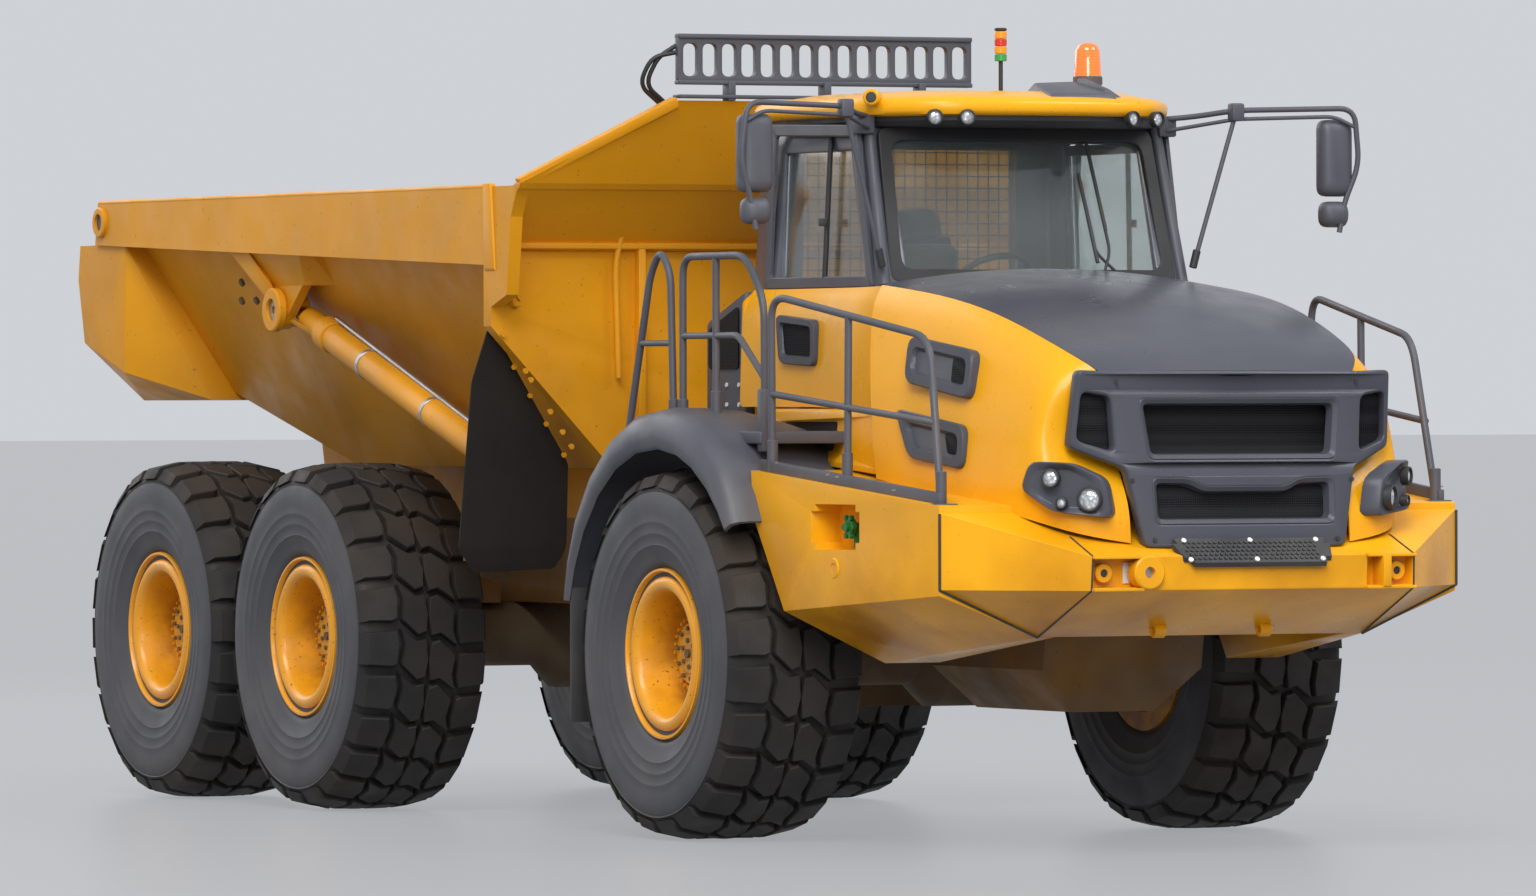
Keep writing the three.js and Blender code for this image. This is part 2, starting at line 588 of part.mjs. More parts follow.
// Side panel under the cab windows, with the air inlet's frame in it.
function sidePanel(side) {
  const x = side * (CAB_HALF_WIDTH + SEAT);
  const outline = [[-600, cabFloor + 120], [560, cabFloor + 120], [560, cabFloor + 600], [-600, cabFloor + 660]];
  return sidePlate(outline, x, side * (CAB_HALF_WIDTH + 90));
}
add('side_panel_right', sidePanel(-1), YELLOW);

// Mirrors: an arm from the roof corner, a big and a small glass, and the stay to the foot of the pillar.
function mirror(side) {
  const at = (x, y, z) => [side * x, y, z];
  const roofSide = ROOF_HALF_WIDTH + SEAT;
  const arm = tube([at(roofSide, -500, roofLow + 88), at(roofSide + 50, -500, roofLow + 88),
    at(1094, -874, roofLow + 56), at(1700, -1015, roofLow + 70), at(1640, -985, roofLow - 700)]);
  const stay = tube([at(1094, -874, roofLow + 56), at(CAB_HALF_WIDTH + 12, -830, cabFloor + 720)], 11);
  const plate = (z0, z1) => block([
    at(1535, -990, z0), at(1725, -1010, z0), at(1725, -1010, z1), at(1535, -990, z1),
    at(1540, -930, z0 + 20), at(1720, -950, z0 + 20), at(1720, -950, z1 - 20), at(1540, -930, z1 - 20),
  ]);
  return join(arm, stay, plate(roofLow - 390, roofLow + 10), plate(roofLow - 690, roofLow - 430));
}
add('mirror_right', mirror(-1), BLACK);
add('mirror_left', mirror(1), BLACK);

// ---- hood: a hollow shell open below, front and back, and the grille that closes its front ----
// Its rear corners rest on the side boxes.
function hoodBlock(inset, front, rear) {
  const foot = rear + BOX_REAR_Y - HOOD_FOOT_SETBACK - HOOD_REAR_Y;
  return block(bothSides([
    [830 - inset, front, 1365 - inset], [930 - inset, front, 775 - inset],
    [835 - inset, -2000, 1715 - inset], [1110 - inset, -2000, 830 - inset],
    [943 - inset, rear, 1822 - inset], [1190 - inset, foot, boxTop(foot) + SEAT - inset],
  ]));
}

const hoodFront = NOSE_Y + 230;
function hood() {
  const shell = hoodBlock(0, hoodFront, HOOD_REAR_Y);
  const inside = hoodBlock(HOOD_WALL, hoodFront - 100, HOOD_REAR_Y + 100);
  const floor = box(-820, 820, hoodFront - 100, HOOD_REAR_Y + 100, 600, 1200);
  const under = block(bothSides([
    [880, hoodFront - 60, 650], [880, hoodFront - 60, 790], [1140, HOOD_REAR_Y + 60, 650],
    [1140, HOOD_REAR_Y + 60, 960],
  ]));
  return cut(shell, inside, floor, under);
}
add('hood', hood(), YELLOW);

function grille() {
  const rear = hoodFront - SEAT;
  return block(bothSides([
    [854, rear, 1364], [900, rear, 800], [600, rear, 605], [820, rear - GRILLE_THICKNESS, 1340],
    [600, NOSE_Y + 60, 900], [560, NOSE_Y + 60, 560], [420, NOSE_Y, 551], [420, NOSE_Y + 60, 900],
  ]));
}
add('grille', grille(), GRAPHITE);

// ---- hitch: a block on the vertical pivot, steering arms, and the stub that lets the rear unit twist ----
function hitch() {
  const low = TWIST_Z - HITCH_HALF_HEIGHT;
  const high = TWIST_Z + HITCH_HALF_HEIGHT;
  const armTop = STEER_Z - 32;
  return join(
    bar([0, PIVOT_Y, low], [0, PIVOT_Y, high], PIVOT_RADIUS, 20),
    box(-PIVOT_RADIUS, PIVOT_RADIUS, PIVOT_Y, RING_Y - 20, low + 60, high - 60),
    box(-STEER_ARM_X - 50, STEER_ARM_X + 50, STEER_ARM_Y - 50, STEER_ARM_Y + 50, armTop - 36, armTop),
    bar([0, RING_Y - 40, TWIST_Z], [0, RING_Y, TWIST_Z], RING_RADIUS, 24),
    bar([0, RING_Y - 10, TWIST_Z], [0, RING_Y + STUB_LENGTH, TWIST_Z], STUB_RADIUS, 24),
  );
}
add('hitch', hitch(), YELLOW);

// ---- rear frame: ring, rails, cross members, bogie tube, hoist outrigger and the body's hinge tube ----
function rearFrame() {
  const start = RING_Y + SEAT;
  const railEnd = HINGE_Y + 130;
  const rails = Object.values(SIDES).map((side) =>
    box(side * REAR_RAIL_IN, side * REAR_RAIL_OUT, start + 300, railEnd, REAR_RAIL_LOW, REAR_RAIL_TOP - 20));
  const eyes = Object.values(SIDES).map((side) =>
    bar([side * REAR_RAIL_IN, HINGE_Y, HINGE_Z], [side * REAR_RAIL_OUT, HINGE_Y, HINGE_Z], 125, 16));
  const neck = block([
    [-REAR_RAIL_OUT, start + 420, REAR_RAIL_LOW], [REAR_RAIL_OUT, start + 420, REAR_RAIL_LOW],
    [-REAR_RAIL_OUT, start + 420, REAR_RAIL_TOP - 20], [REAR_RAIL_OUT, start + 420, REAR_RAIL_TOP - 20],
    [-210, start + 20, TWIST_Z - 210], [210, start + 20, TWIST_Z - 210],
    [-210, start + 20, TWIST_Z + 210], [210, start + 20, TWIST_Z + 210],
  ]);
  const ring = bar([0, start, TWIST_Z], [0, start + 40, TWIST_Z], RING_RADIUS, 24);
  const socket = bar([0, start - 10, TWIST_Z], [0, RING_Y + STUB_LENGTH + RUNNING, TWIST_Z], STUB_RADIUS + 2, 24);
  const member = (y, low) =>
    box(-REAR_RAIL_IN - 10, REAR_RAIL_IN + 10, y - 70, y + 70, low, REAR_RAIL_TOP - 40);
  const bogieTube = bar([-BEAM_OUT + BEAM_WIDTH + SEAT, BOGIE_Y, REAR_RAIL_LOW + 60],
    [BEAM_OUT - BEAM_WIDTH - SEAT, BOGIE_Y, REAR_RAIL_LOW + 60], BOGIE_TUBE_RADIUS, 16);
  const outriggerHalf = HOIST_X + HOIST_EYE_HALF + 22;
  const outrigger = box(-outriggerHalf, outriggerHalf, HOIST_LOW_Y - 20, HOIST_LOW_Y + 160,
    REAR_RAIL_TOP - 100, REAR_RAIL_TOP + 120);
  const lugs = Object.values(SIDES).flatMap((side) => [-1, 1].map((edge) => {
    const x = side * HOIST_X + edge * (HOIST_EYE_HALF + SEAT);
    const outer = x + edge * 20;
    return join(
      sidePlate([[HOIST_LOW_Y - 60, HOIST_LOW_Z], [HOIST_LOW_Y - 20, REAR_RAIL_TOP], [HOIST_LOW_Y + 160,
        REAR_RAIL_TOP], [HOIST_LOW_Y + 60, HOIST_LOW_Z + 30]], Math.min(x, outer), Math.max(x, outer)),
      bar([x, HOIST_LOW_Y, HOIST_LOW_Z], [outer, HOIST_LOW_Y, HOIST_LOW_Z], 62, 12),
    );
  }));
  const pin = bar([-REAR_RAIL_OUT - 110, HINGE_Y, HINGE_Z], [REAR_RAIL_OUT + 110, HINGE_Y, HINGE_Z],
    HINGE_RADIUS, 16);
  return cut(join(
    ring, neck, ...rails, ...eyes, bogieTube, outrigger, ...lugs, pin,
    member(MIDDLE_Y - 650, REAR_RAIL_LOW), member(BOGIE_Y, REAR_RAIL_LOW - 60),
    member(HINGE_Y + 30, REAR_DIFF_RADIUS + 25),
  ), socket);
}
add('rear_frame', rearFrame(), YELLOW);

// Walking beams rest on the two rear axles and turn on the ends of the bogie tube.
for (const [name, side] of Object.entries(SIDES)) {
  const low = AXLE_TUBE_RADIUS + SEAT;
  const ends = BEAM_OVERHANG;
  add(`walking_beam_${name}`, sidePlate([
    [MIDDLE_Y - ends, low], [REAR_Y + ends, low], [REAR_Y + ends, low + 110], [BOGIE_Y + 250, low + BEAM_HEIGHT],
    [BOGIE_Y - 250, low + BEAM_HEIGHT], [MIDDLE_Y - ends, low + 110],
  ], side * (BEAM_OUT - BEAM_WIDTH), side * BEAM_OUT), YELLOW);
}

// ---- tipping body ----
const tailSlope = Math.tan(THREE.MathUtils.degToRad(TAIL_RISE_ANGLE));
const wallX = (z) => BIN_HALF - SIDE_LEDGE - WALL_LEAN * (BIN_TOP - BAND_REAR_HEIGHT - z);
const KNEE_Y = HINGE_Y - 1050;
const floorAt = (y) => BIN_FLOOR_Z + Math.max(0, y - KNEE_Y) * tailSlope;

function binOutside() {
  const ledge = BIN_TOP - BAND_REAR_HEIGHT;
  const shoulder = HINGE_Y + 520;
  const main = block(bothSides([
    [wallX(BIN_FLOOR_Z), BIN_FRONT_Y, BIN_FLOOR_Z], [wallX(BIN_FLOOR_Z), KNEE_Y, BIN_FLOOR_Z],
    [wallX(floorAt(shoulder)), shoulder, floorAt(shoulder)],
    [wallX(ledge + 20), BIN_FRONT_Y, ledge + 20], [wallX(ledge + 20), shoulder, ledge + 20],
  ]));
  const band = sidePlate([
    [BIN_FRONT_Y + 28, BIN_TOP], [BIN_FRONT_Y + 28, BIN_TOP - BAND_FRONT_HEIGHT],
    [TAIL_Y - 290, BIN_TOP - BAND_REAR_HEIGHT], [TAIL_Y - 330, BIN_TOP],
  ], -BIN_HALF, BIN_HALF);
  const tail = block(bothSides([
    [BIN_HALF - 20, shoulder - 20, ledge], [BIN_HALF - 20, shoulder + 160, ledge - 180],
    [BIN_HALF - 20, shoulder - 10, 1415], [wallX(1258), shoulder - 360, 1262], [BIN_HALF - 20, TAIL_Y - 30, ledge],
    [BIN_HALF - 20, TAIL_Y, ledge - 190], [BIN_HALF - 20, TAIL_Y - 90, 1582], [1250, TAIL_Y - 70, 1258],
    [1250, shoulder - 360, 1262],
  ]));
  return join(main, band, tail);
}

function binInside() {
  const top = BIN_TOP + 900;
  const rim = BIN_HALF - BIN_WALL - 20;
  const side = (z) => wallX(z) - BIN_WALL;
  const bend = BIN_TOP - BAND_REAR_HEIGHT + (rim - side(BIN_TOP - BAND_REAR_HEIGHT)) / WALL_LEAN;
  const past = TAIL_Y + 200;
  const floor = (y) => floorAt(y) + BIN_WALL;
  return block(bothSides([
    [side(floor(0)), BIN_FRONT_Y + 90, floor(0)], [side(floor(0)), KNEE_Y + 10, floor(0)],
    [side(floor(past)), past, floor(past)],
    [rim, BIN_FRONT_Y + 90, bend], [rim, past, bend], [rim, BIN_FRONT_Y + 90, top], [rim, past, top],
  ]));
}

function headboard() {
  const wall = crossPlate([
    [-BIN_HALF, BIN_TOP], [-BIN_HALF, BIN_TOP - 720], [-wallX(BIN_FLOOR_Z) - 40, BIN_FLOOR_Z - 10],
    [wallX(BIN_FLOOR_Z) + 40, BIN_FLOOR_Z - 10], [BIN_HALF, BIN_TOP - 720], [BIN_HALF, BIN_TOP],
  ], BIN_FRONT_Y, BIN_FRONT_Y + 90);
  const lower = block(bothSides([
    [BIN_HALF, BIN_FRONT_Y, BIN_TOP - 310], [BIN_HALF, BIN_FRONT_Y + 60, BIN_TOP - 240],
    [BIN_HALF, 1730, BIN_TOP + 10], [BIN_HALF, 1800, BIN_TOP + 10],
  ]));
  const upper = block(bothSides([
    [BIN_HALF, 1730, BIN_TOP + 10], [BIN_HALF, 1800, BIN_TOP + 10],
    [BIN_HALF, 1755, BIN_TOP - 20],
    [HEADBOARD_HALF_WIDTH, HEADBOARD_Y, HEADBOARD_Z], [HEADBOARD_HALF_WIDTH, HEADBOARD_Y + 70, HEADBOARD_Z],
  ]));
  const cheeks = Object.values(SIDES).map((side) => sidePlate(
    [[BIN_FRONT_Y + 60, BIN_TOP], [1760, BIN_TOP], [1850, BIN_TOP - 160], [1900, BIN_TOP - 560], [BIN_FRONT_Y + 60,
      BIN_TOP - 640]],
    side * (BIN_HALF - 70), side * BIN_HALF));
  return join(wall, lower, upper, ...cheeks);
}

// Beams under the floor rest on the rear frame and end in the hinge lugs.
function underBeams() {
  const low = REAR_RAIL_TOP - 20 + SEAT;
  return Object.values(SIDES).flatMap((side) => {
    const beam = sidePlate([
      [HOIST_LOW_Y + 200, BIN_FLOOR_Z + 10], [HOIST_LOW_Y + 260, low], [HINGE_Y - 150, low],
      [HINGE_Y - 150, floorAt(HINGE_Y - 150) + 10], [KNEE_Y, BIN_FLOOR_Z + 10],
    ], side * REAR_RAIL_IN, side * REAR_RAIL_OUT);
    const lug = join(
      sidePlate([[HINGE_Y - 420, BIN_FLOOR_Z - 60], [HINGE_Y - 110, HINGE_Z - 30], [HINGE_Y + 110, HINGE_Z - 30],
        [HINGE_Y + 330, floorAt(HINGE_Y + 330) + 10], [HINGE_Y - 420, floorAt(HINGE_Y - 420) + 10]],
      side * (REAR_RAIL_OUT + RUNNING), side * (REAR_RAIL_OUT + 90)),
      bar([side * (REAR_RAIL_OUT + RUNNING), HINGE_Y, HINGE_Z], [side * (REAR_RAIL_OUT + 90), HINGE_Y, HINGE_Z],
        125, 16),
    );
    const foot = box(side * (REAR_RAIL_OUT - 20), side * (REAR_RAIL_OUT + 90), HINGE_Y - 420, HINGE_Y - 260,
      BIN_FLOOR_Z - 60, floorAt(HINGE_Y - 420) + 10);
    return [beam, lug, foot];
  });
}

// Bracket on each side that carries the top of the hoist ram.
function hoistBracket(side) {
  const inner = side * (HOIST_X + 52);
  const outer = side * (HOIST_X + 105);
  const under = HOIST_TOP_Z + 130;
  return join(
    block([
      [side * wallX(BIN_TOP - BAND_FRONT_HEIGHT - 90), HOIST_TOP_Y - 420, under],
      [side * wallX(BIN_TOP - BAND_FRONT_HEIGHT - 90), HOIST_TOP_Y + 260, under],
      [outer, HOIST_TOP_Y - 330, under], [outer, HOIST_TOP_Y + 160, under],
      [side * (BIN_HALF - 20), HOIST_TOP_Y - 420, BIN_TOP - BAND_REAR_HEIGHT + 20],
      [side * (BIN_HALF - 20), HOIST_TOP_Y + 360, BIN_TOP - BAND_REAR_HEIGHT + 20],
      [side * wallX(BIN_TOP - BAND_REAR_HEIGHT), HOIST_TOP_Y - 420, BIN_TOP - BAND_REAR_HEIGHT + 20],
      [side * wallX(BIN_TOP - BAND_REAR_HEIGHT), HOIST_TOP_Y + 360, BIN_TOP - BAND_REAR_HEIGHT + 20],
    ]),
    sidePlate([[HOIST_TOP_Y - 330, under + 20], [HOIST_TOP_Y - 70, HOIST_TOP_Z - 60], [HOIST_TOP_Y + 70,
      HOIST_TOP_Z - 60], [HOIST_TOP_Y + 200, under + 20]], inner, outer),
    bar([inner, HOIST_TOP_Y, HOIST_TOP_Z], [side * (HOIST_X + 130), HOIST_TOP_Y, HOIST_TOP_Z], 105, 16),
  );
}

add('tipping_body', cut(
  join(binOutside(), headboard(), ...underBeams(), hoistBracket(-1), hoistBracket(1)),
  binInside(),
  bar([-REAR_RAIL_OUT - 130, HINGE_Y, HINGE_Z], [REAR_RAIL_OUT + 130, HINGE_Y, HINGE_Z], HINGE_RADIUS + 3, 16),
), YELLOW);

// Open guard that stands on the headboard.
function headboardGuard() {
  const low = HEADBOARD_Z + 80;
  const high = low + GRATING_HEIGHT;
  const half = HEADBOARD_HALF_WIDTH - 15;
  const y0 = HEADBOARD_Y + 18;
  const y1 = y0 + 24;
  const count = 8;
  const slats = Array.from({ length: count + 1 }, (_, i) => {
    const x = -half + 2 * half * i / count;
    return box(x - 12, x + 12, y0, y1, low, high);
  });
  const foot = (x) => box(x - 20, x + 20, y0, y1, HEADBOARD_Z + SEAT, low + 10);
  return join(...slats, box(-half, half, y0, y1, low, low + 26), box(-half, half, y0, y1, high - 26, high),
    foot(-half + 20), foot(half - 20), foot(0));
}
add('headboard_guard', headboardGuard(), BLACK);

// Rubber flaps hung from the tapered lower edges of the front wall.
for (const [name, side] of Object.entries(SIDES)) {
  const top = BIN_TOP - 720;
  const y = BIN_FRONT_Y + 90 + SEAT;
  const out = BIN_HALF + 50;
  add(`rubber_flap_${name}`, block([
    [side * (out - 70), y, top], [side * out, y + 60, top - 260], [side * (out - 30), y + 200, 375],
    [side * (BIN_HALF - 560), y + 180, 500], [side * (BIN_HALF - 560), y, BIN_FLOOR_Z + 60],
  ].flatMap(([x, at, z]) => [[x, at, z], [x, at + FLAP_THICKNESS, z]])), RUBBER);
}

// ---- rams: a barrel with its closed eye, and a rod that slides out of it ----
function ramBarrel(from, to, reach, radius, bore, eyeAxis, eyeHalf, wall) {
  const start = new THREE.Vector3(...from);
  const along = new THREE.Vector3(...to).sub(start).normalize();
  const point = (distance) => start.clone().addScaledVector(along, distance).toArray();
  const eyeFrom = start.clone().addScaledVector(eyeAxis, -eyeHalf).toArray();
  const eyeTo = start.clone().addScaledVector(eyeAxis, eyeHalf).toArray();
  return cut(
    join(bar(point(0), point(reach), radius, 12), bar(eyeFrom, eyeTo, radius * 0.95, 12)),
    bar(point(radius + wall), point(reach + 50), bore, 12),
  );
}

function ramRod(from, to, start, radius, eyeAxis, eyeHalf, eyeRadius) {
  const base = new THREE.Vector3(...from);
  const end = new THREE.Vector3(...to);
  const along = end.clone().sub(base).normalize();
  const first = base.clone().addScaledVector(along, start).toArray();
  const eyeFrom = end.clone().addScaledVector(eyeAxis, -eyeHalf).toArray();
  const eyeTo = end.clone().addScaledVector(eyeAxis, eyeHalf).toArray();
  return join(bar(first, to, radius, 12), bar(eyeFrom, eyeTo, eyeRadius, 16));
}

const ACROSS = new THREE.Vector3(1, 0, 0);
const UPWARD = new THREE.Vector3(0, 0, 1);
for (const [name, side] of Object.entries(SIDES)) {
  const low = [side * HOIST_X, HOIST_LOW_Y, HOIST_LOW_Z];
  const high = [side * HOIST_X, HOIST_TOP_Y, HOIST_TOP_Z];
  const reach = Math.hypot(HOIST_TOP_Y - HOIST_LOW_Y, HOIST_TOP_Z - HOIST_LOW_Z) - HOIST_HEAD_SETBACK;
  add(`hoist_barrel_${name}`,
    ramBarrel(low, high, reach, HOIST_BARREL_RADIUS, HOIST_BORE_RADIUS, ACROSS, HOIST_EYE_HALF, 20), YELLOW);
  add(`hoist_rod_${name}`,
    ramRod(low, high, HOIST_BARREL_RADIUS + 40, HOIST_BORE_RADIUS - SEAT, ACROSS, 40, 92), CHROME);

  const front = [side * STEER_PIN_X, STEER_PIN_Y, STEER_Z];
  const back = [side * STEER_ARM_X, STEER_ARM_Y, STEER_Z];
  const steerReach = Math.hypot(STEER_ARM_X - STEER_PIN_X, STEER_ARM_Y - STEER_PIN_Y) - STEER_STROKE - 110;
  add(`steer_barrel_${name}`,
    ramBarrel(front, back, steerReach, STEER_BARREL_RADIUS, 32, UPWARD, STEER_EYE_HALF, 8), YELLOW);
  add(`steer_rod_${name}`, ramRod(front, back, STEER_STROKE + 90, 32 - SEAT, UPWARD, 27, 52), CHROME);
}

// The origin lies on the ground, under the middle of the truck's length.
truck.position.set(0, -(NOSE_Y + TAIL_Y) / 2, TYRE_RADIUS);

export default truck;
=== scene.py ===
import json
import math

import bmesh
import bpy
from mathutils import Matrix, Vector


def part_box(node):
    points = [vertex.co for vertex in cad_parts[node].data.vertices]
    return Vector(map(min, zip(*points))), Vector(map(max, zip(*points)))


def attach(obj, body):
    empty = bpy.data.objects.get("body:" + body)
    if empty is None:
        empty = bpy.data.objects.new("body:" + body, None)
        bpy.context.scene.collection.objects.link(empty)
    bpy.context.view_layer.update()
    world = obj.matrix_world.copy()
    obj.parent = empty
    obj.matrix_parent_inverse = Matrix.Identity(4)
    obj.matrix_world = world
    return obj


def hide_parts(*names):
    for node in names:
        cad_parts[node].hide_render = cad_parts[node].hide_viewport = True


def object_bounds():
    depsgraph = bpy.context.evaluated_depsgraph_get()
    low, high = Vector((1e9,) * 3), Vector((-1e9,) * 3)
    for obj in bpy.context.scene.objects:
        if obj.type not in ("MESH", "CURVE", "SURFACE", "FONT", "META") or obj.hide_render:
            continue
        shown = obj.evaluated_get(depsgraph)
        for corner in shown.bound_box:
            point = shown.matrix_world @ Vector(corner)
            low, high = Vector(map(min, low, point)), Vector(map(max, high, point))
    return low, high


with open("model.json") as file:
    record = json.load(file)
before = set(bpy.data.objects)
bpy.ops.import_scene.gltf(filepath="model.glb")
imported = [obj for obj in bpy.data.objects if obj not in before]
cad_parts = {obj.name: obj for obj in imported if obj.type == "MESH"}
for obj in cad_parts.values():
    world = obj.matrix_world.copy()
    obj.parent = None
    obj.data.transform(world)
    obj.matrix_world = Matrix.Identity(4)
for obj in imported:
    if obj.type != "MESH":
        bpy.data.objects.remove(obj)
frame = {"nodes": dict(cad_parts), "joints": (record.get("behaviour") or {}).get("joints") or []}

cad_box = [list(corner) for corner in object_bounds()]

# ---- the stand: a pale floor, soft lamps and the camera ----
# The floor and the sky only look pale to the camera, to gloss and through glass; what they send onto
# the truck is a plain even light.
axle_low, axle_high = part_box("front_axle")
AXLE_Y = (axle_low.y + axle_high.y) / 2
PALE = (0.62, 0.64, 0.67)
scene = bpy.context.scene
scene.view_settings.view_transform = "Standard"


def at(x, y, z):
    """A place on the truck: x to its left, y backwards from the front axle, z up from the ground."""
    return Vector((x, AXLE_Y + y, z))


def added(name, data):
    made = bpy.data.objects.new(name, data)
    scene.collection.objects.link(made)
    return made


class Nodes:
    """A node tree that is wired as it is made: an input is a number, a colour, or another node's output."""

    def __init__(self, tree):
        self.tree = tree

    def wire(self, node, inputs):
        for name, value in inputs.items():
            socket = node.inputs[name]
            if isinstance(value, bpy.types.NodeSocket):
                self.tree.links.new(value, socket)
            else:
                socket.default_value = (*value, 1) if socket.type == "RGBA" else value

    def add(self, kind, inputs={}, **settings):
        """Adds a node and gives its outputs."""
        node = self.tree.nodes.new(kind)
        for name, value in settings.items():
            setattr(node, name, value)
        self.wire(node, inputs)
        return node.outputs

    def maths(self, operation, first, second, clamp=False):
        return self.add("ShaderNodeMath", {0: first, 1: second}, operation=operation, use_clamp=clamp)[0]

    def seen_directly(self):
        """1 where the camera, gloss or glass looks, and 0 for light that falls on the truck."""
        path = self.add("ShaderNodeLightPath")
        either = self.maths("MAXIMUM", path["Is Camera Ray"], path["Is Glossy Ray"])
        return self.maths("MAXIMUM", either, path["Is Transmission Ray"])


scene.world = bpy.data.worlds.new("studio")
scene.world.use_nodes = True
sky = Nodes(scene.world.node_tree)
sky.tree.nodes.clear()
ambient = sky.add("ShaderNodeBackground", {"Color": (0.93, 0.96, 1.0), "Strength": 0.5})[0]
backdrop = sky.add("ShaderNodeBackground", {"Color": PALE, "Strength": 1.0})[0]
sky_mix = sky.add("ShaderNodeMixShader", {0: sky.seen_directly(), 1: ambient, 2: backdrop})[0]
sky.add("ShaderNodeOutputWorld", {0: sky_mix})

floor_material = bpy.data.materials.new("studio_floor")
floor_material.use_nodes = True
ground = Nodes(floor_material.node_tree)
floor_shader = ground.tree.nodes["Principled BSDF"]
ground.wire(floor_shader, {"Base Color": (0.26, 0.26, 0.27), "Roughness": 0.35})
glow = ground.add("ShaderNodeEmission", {"Color": PALE})[0]
half_glow = ground.maths("MULTIPLY", ground.seen_directly(), 0.55)
floor_mix = ground.add("ShaderNodeMixShader", {0: half_glow, 1: floor_shader.outputs[0], 2: glow})[0]
ground.wire(ground.tree.nodes["Material Output"], {0: floor_mix})

FLOOR_HALF = 400
floor_mesh = bpy.data.meshes.new("floor")
floor_mesh.from_pydata([(x * FLOOR_HALF, y * FLOOR_HALF, cad_box[0][2]) for x, y in
                        ((-1, -1), (1, -1), (1, 1), (-1, 1))], [], [(0, 1, 2, 3)])
floor_mesh.materials.append(floor_material)
added("floor", floor_mesh)

for name, kind, place, aim, power, size in (
        ("sky_lamp", "SUN", (-9, -11, 16), (0, 0, 1), 1.7, math.radians(30)),
        ("front_lamp", "AREA", (-6, -17, 8), (0, -2, 1.5), 900, 6),
        ("hood_lamp", "AREA", (7, -9, 12), (0, -3, 2), 500, 5),
        ("back_lamp", "AREA", (-5, 20, 12), (0, 2, 2), 1500, 16)):
    light = bpy.data.lights.new(name, kind)
    light.energy = power
    if kind == "SUN":
        light.angle = size
    else:
        light.shape = "SQUARE"
        light.size = size
    lamp = added(name, light)
    lamp.location = place
    lamp.rotation_euler = (Vector(aim) - Vector(place)).to_track_quat("-Z", "Y").to_euler()

camera_data = bpy.data.cameras.new("camera")
camera_data.sensor_width = 36
camera_data.lens = 249.2
camera_data.clip_end = 600
scene.camera = added("camera", camera_data)
azimuth, elevation, roll = (math.radians(angle) for angle in (-26.42, 0.31, -0.12))
back = Vector((math.sin(azimuth) * math.cos(elevation), -math.cos(azimuth) * math.cos(elevation),
               math.sin(elevation)))
level = Vector((0, 0, 1)).cross(back).normalized()
upright = back.cross(level)
across = math.cos(roll) * level + math.sin(roll) * upright
above = math.cos(roll) * upright - math.sin(roll) * level
scene.camera.matrix_world = Matrix.Translation(at(-24.694, -47.510, 2.232)) @ Matrix(
    (across, above, back)).transposed().to_4x4()


# ---- paint, plastic and rubber ----
# Enamel over steel, moulded plastic and tyre rubber all wear alike: a colour, a second colour of dust or
# grime that gathers low down and in patches, small specks, and a roughness that wanders. On the yellow panels
# and the tipping body that second colour is a darker yellow: painted shade low down as well as grime.
class Finish(Nodes):
    """A material as it is mixed, with its shader and the place that its patterns follow."""

    def __init__(self, name):
        self.material = bpy.data.materials.new(name)
        self.material.use_nodes = True
        super().__init__(self.material.node_tree)
        self.place = self.add("ShaderNodeTexCoord")["Object"]

    def noise(self, scale, detail=6, shift=0.0):
        moved = self.add("ShaderNodeMapping",
                         {"Location": (shift, shift * 0.7, shift * 1.3), "Vector": self.place})[0]
        return self.add("ShaderNodeTexNoise", {"Scale": scale, "Detail": detail, "Vector": moved})["Fac"]

    def axis(self, name):
        return self.add("ShaderNodeSeparateXYZ", {0: self.place})[name]

    def ramp(self, value, low, high, start=0.0, end=1.0):
        return self.add("ShaderNodeMapRange",
                        {"Value": value, "From Min": low, "From Max": high, "To Min": start,
                                               "To Max": end})[0]

    def mixed(self, mask, first, second):
        mix = self.add("ShaderNodeMix", {"Factor": mask, "A": first, "B": second}, data_type="RGBA")
        return mix["Result"]

    def tinted(self, value, low, high, first, second):
        return self.mixed(self.ramp(value, low, high), first, second)

    def relief(self, height, distance, strength=1.0):
        return self.add("ShaderNodeBump", {"Strength": strength, "Distance": distance, "Height": height})[0]

    def done(self, inputs):
        self.wire(self.tree.nodes["Principled BSDF"], inputs)
        return self.material


def worn(name, colour, grime_and_shade, amount=0.5, low=0.6, high=2.2, everywhere=0.15, rough=(0.3, 0.5), specks=0.35,
         grain=90.0, bump=0.05, coat=0.0, metal=0.0, shift=0.0, patch=1.7, shine=0.5):
    """A finish: a second colour (grime, and on some finishes painted shade) up to amount below the low
    height, fading to everywhere above the high one.
    """
    made = Finish(name)
    cloud = made.ramp(made.noise(patch, shift=shift), 0.38, 0.68)
    fall = made.ramp(made.axis("Z"), low, high, amount, everywhere)
    shaded = made.mixed(made.maths("MULTIPLY", cloud, fall, True), colour, grime_and_shade)
    speck = made.ramp(made.noise(38.0, 3, shift + 4), 0.69, 0.74, 0.0, specks)
    return made.done({
        "Base Color": made.mixed(speck, shaded, tuple(channel * 0.3 for channel in grime_and_shade)),
        "Roughness": made.ramp(made.noise(5.0, shift=shift + 9), 0.3, 0.7, *rough),
        "Normal": made.relief(made.noise(grain, 2, shift + 2), 0.01, bump),
        "Metallic": metal, "Coat Weight": coat, "Specular IOR Level": shine, "Coat Roughness": 0.12})


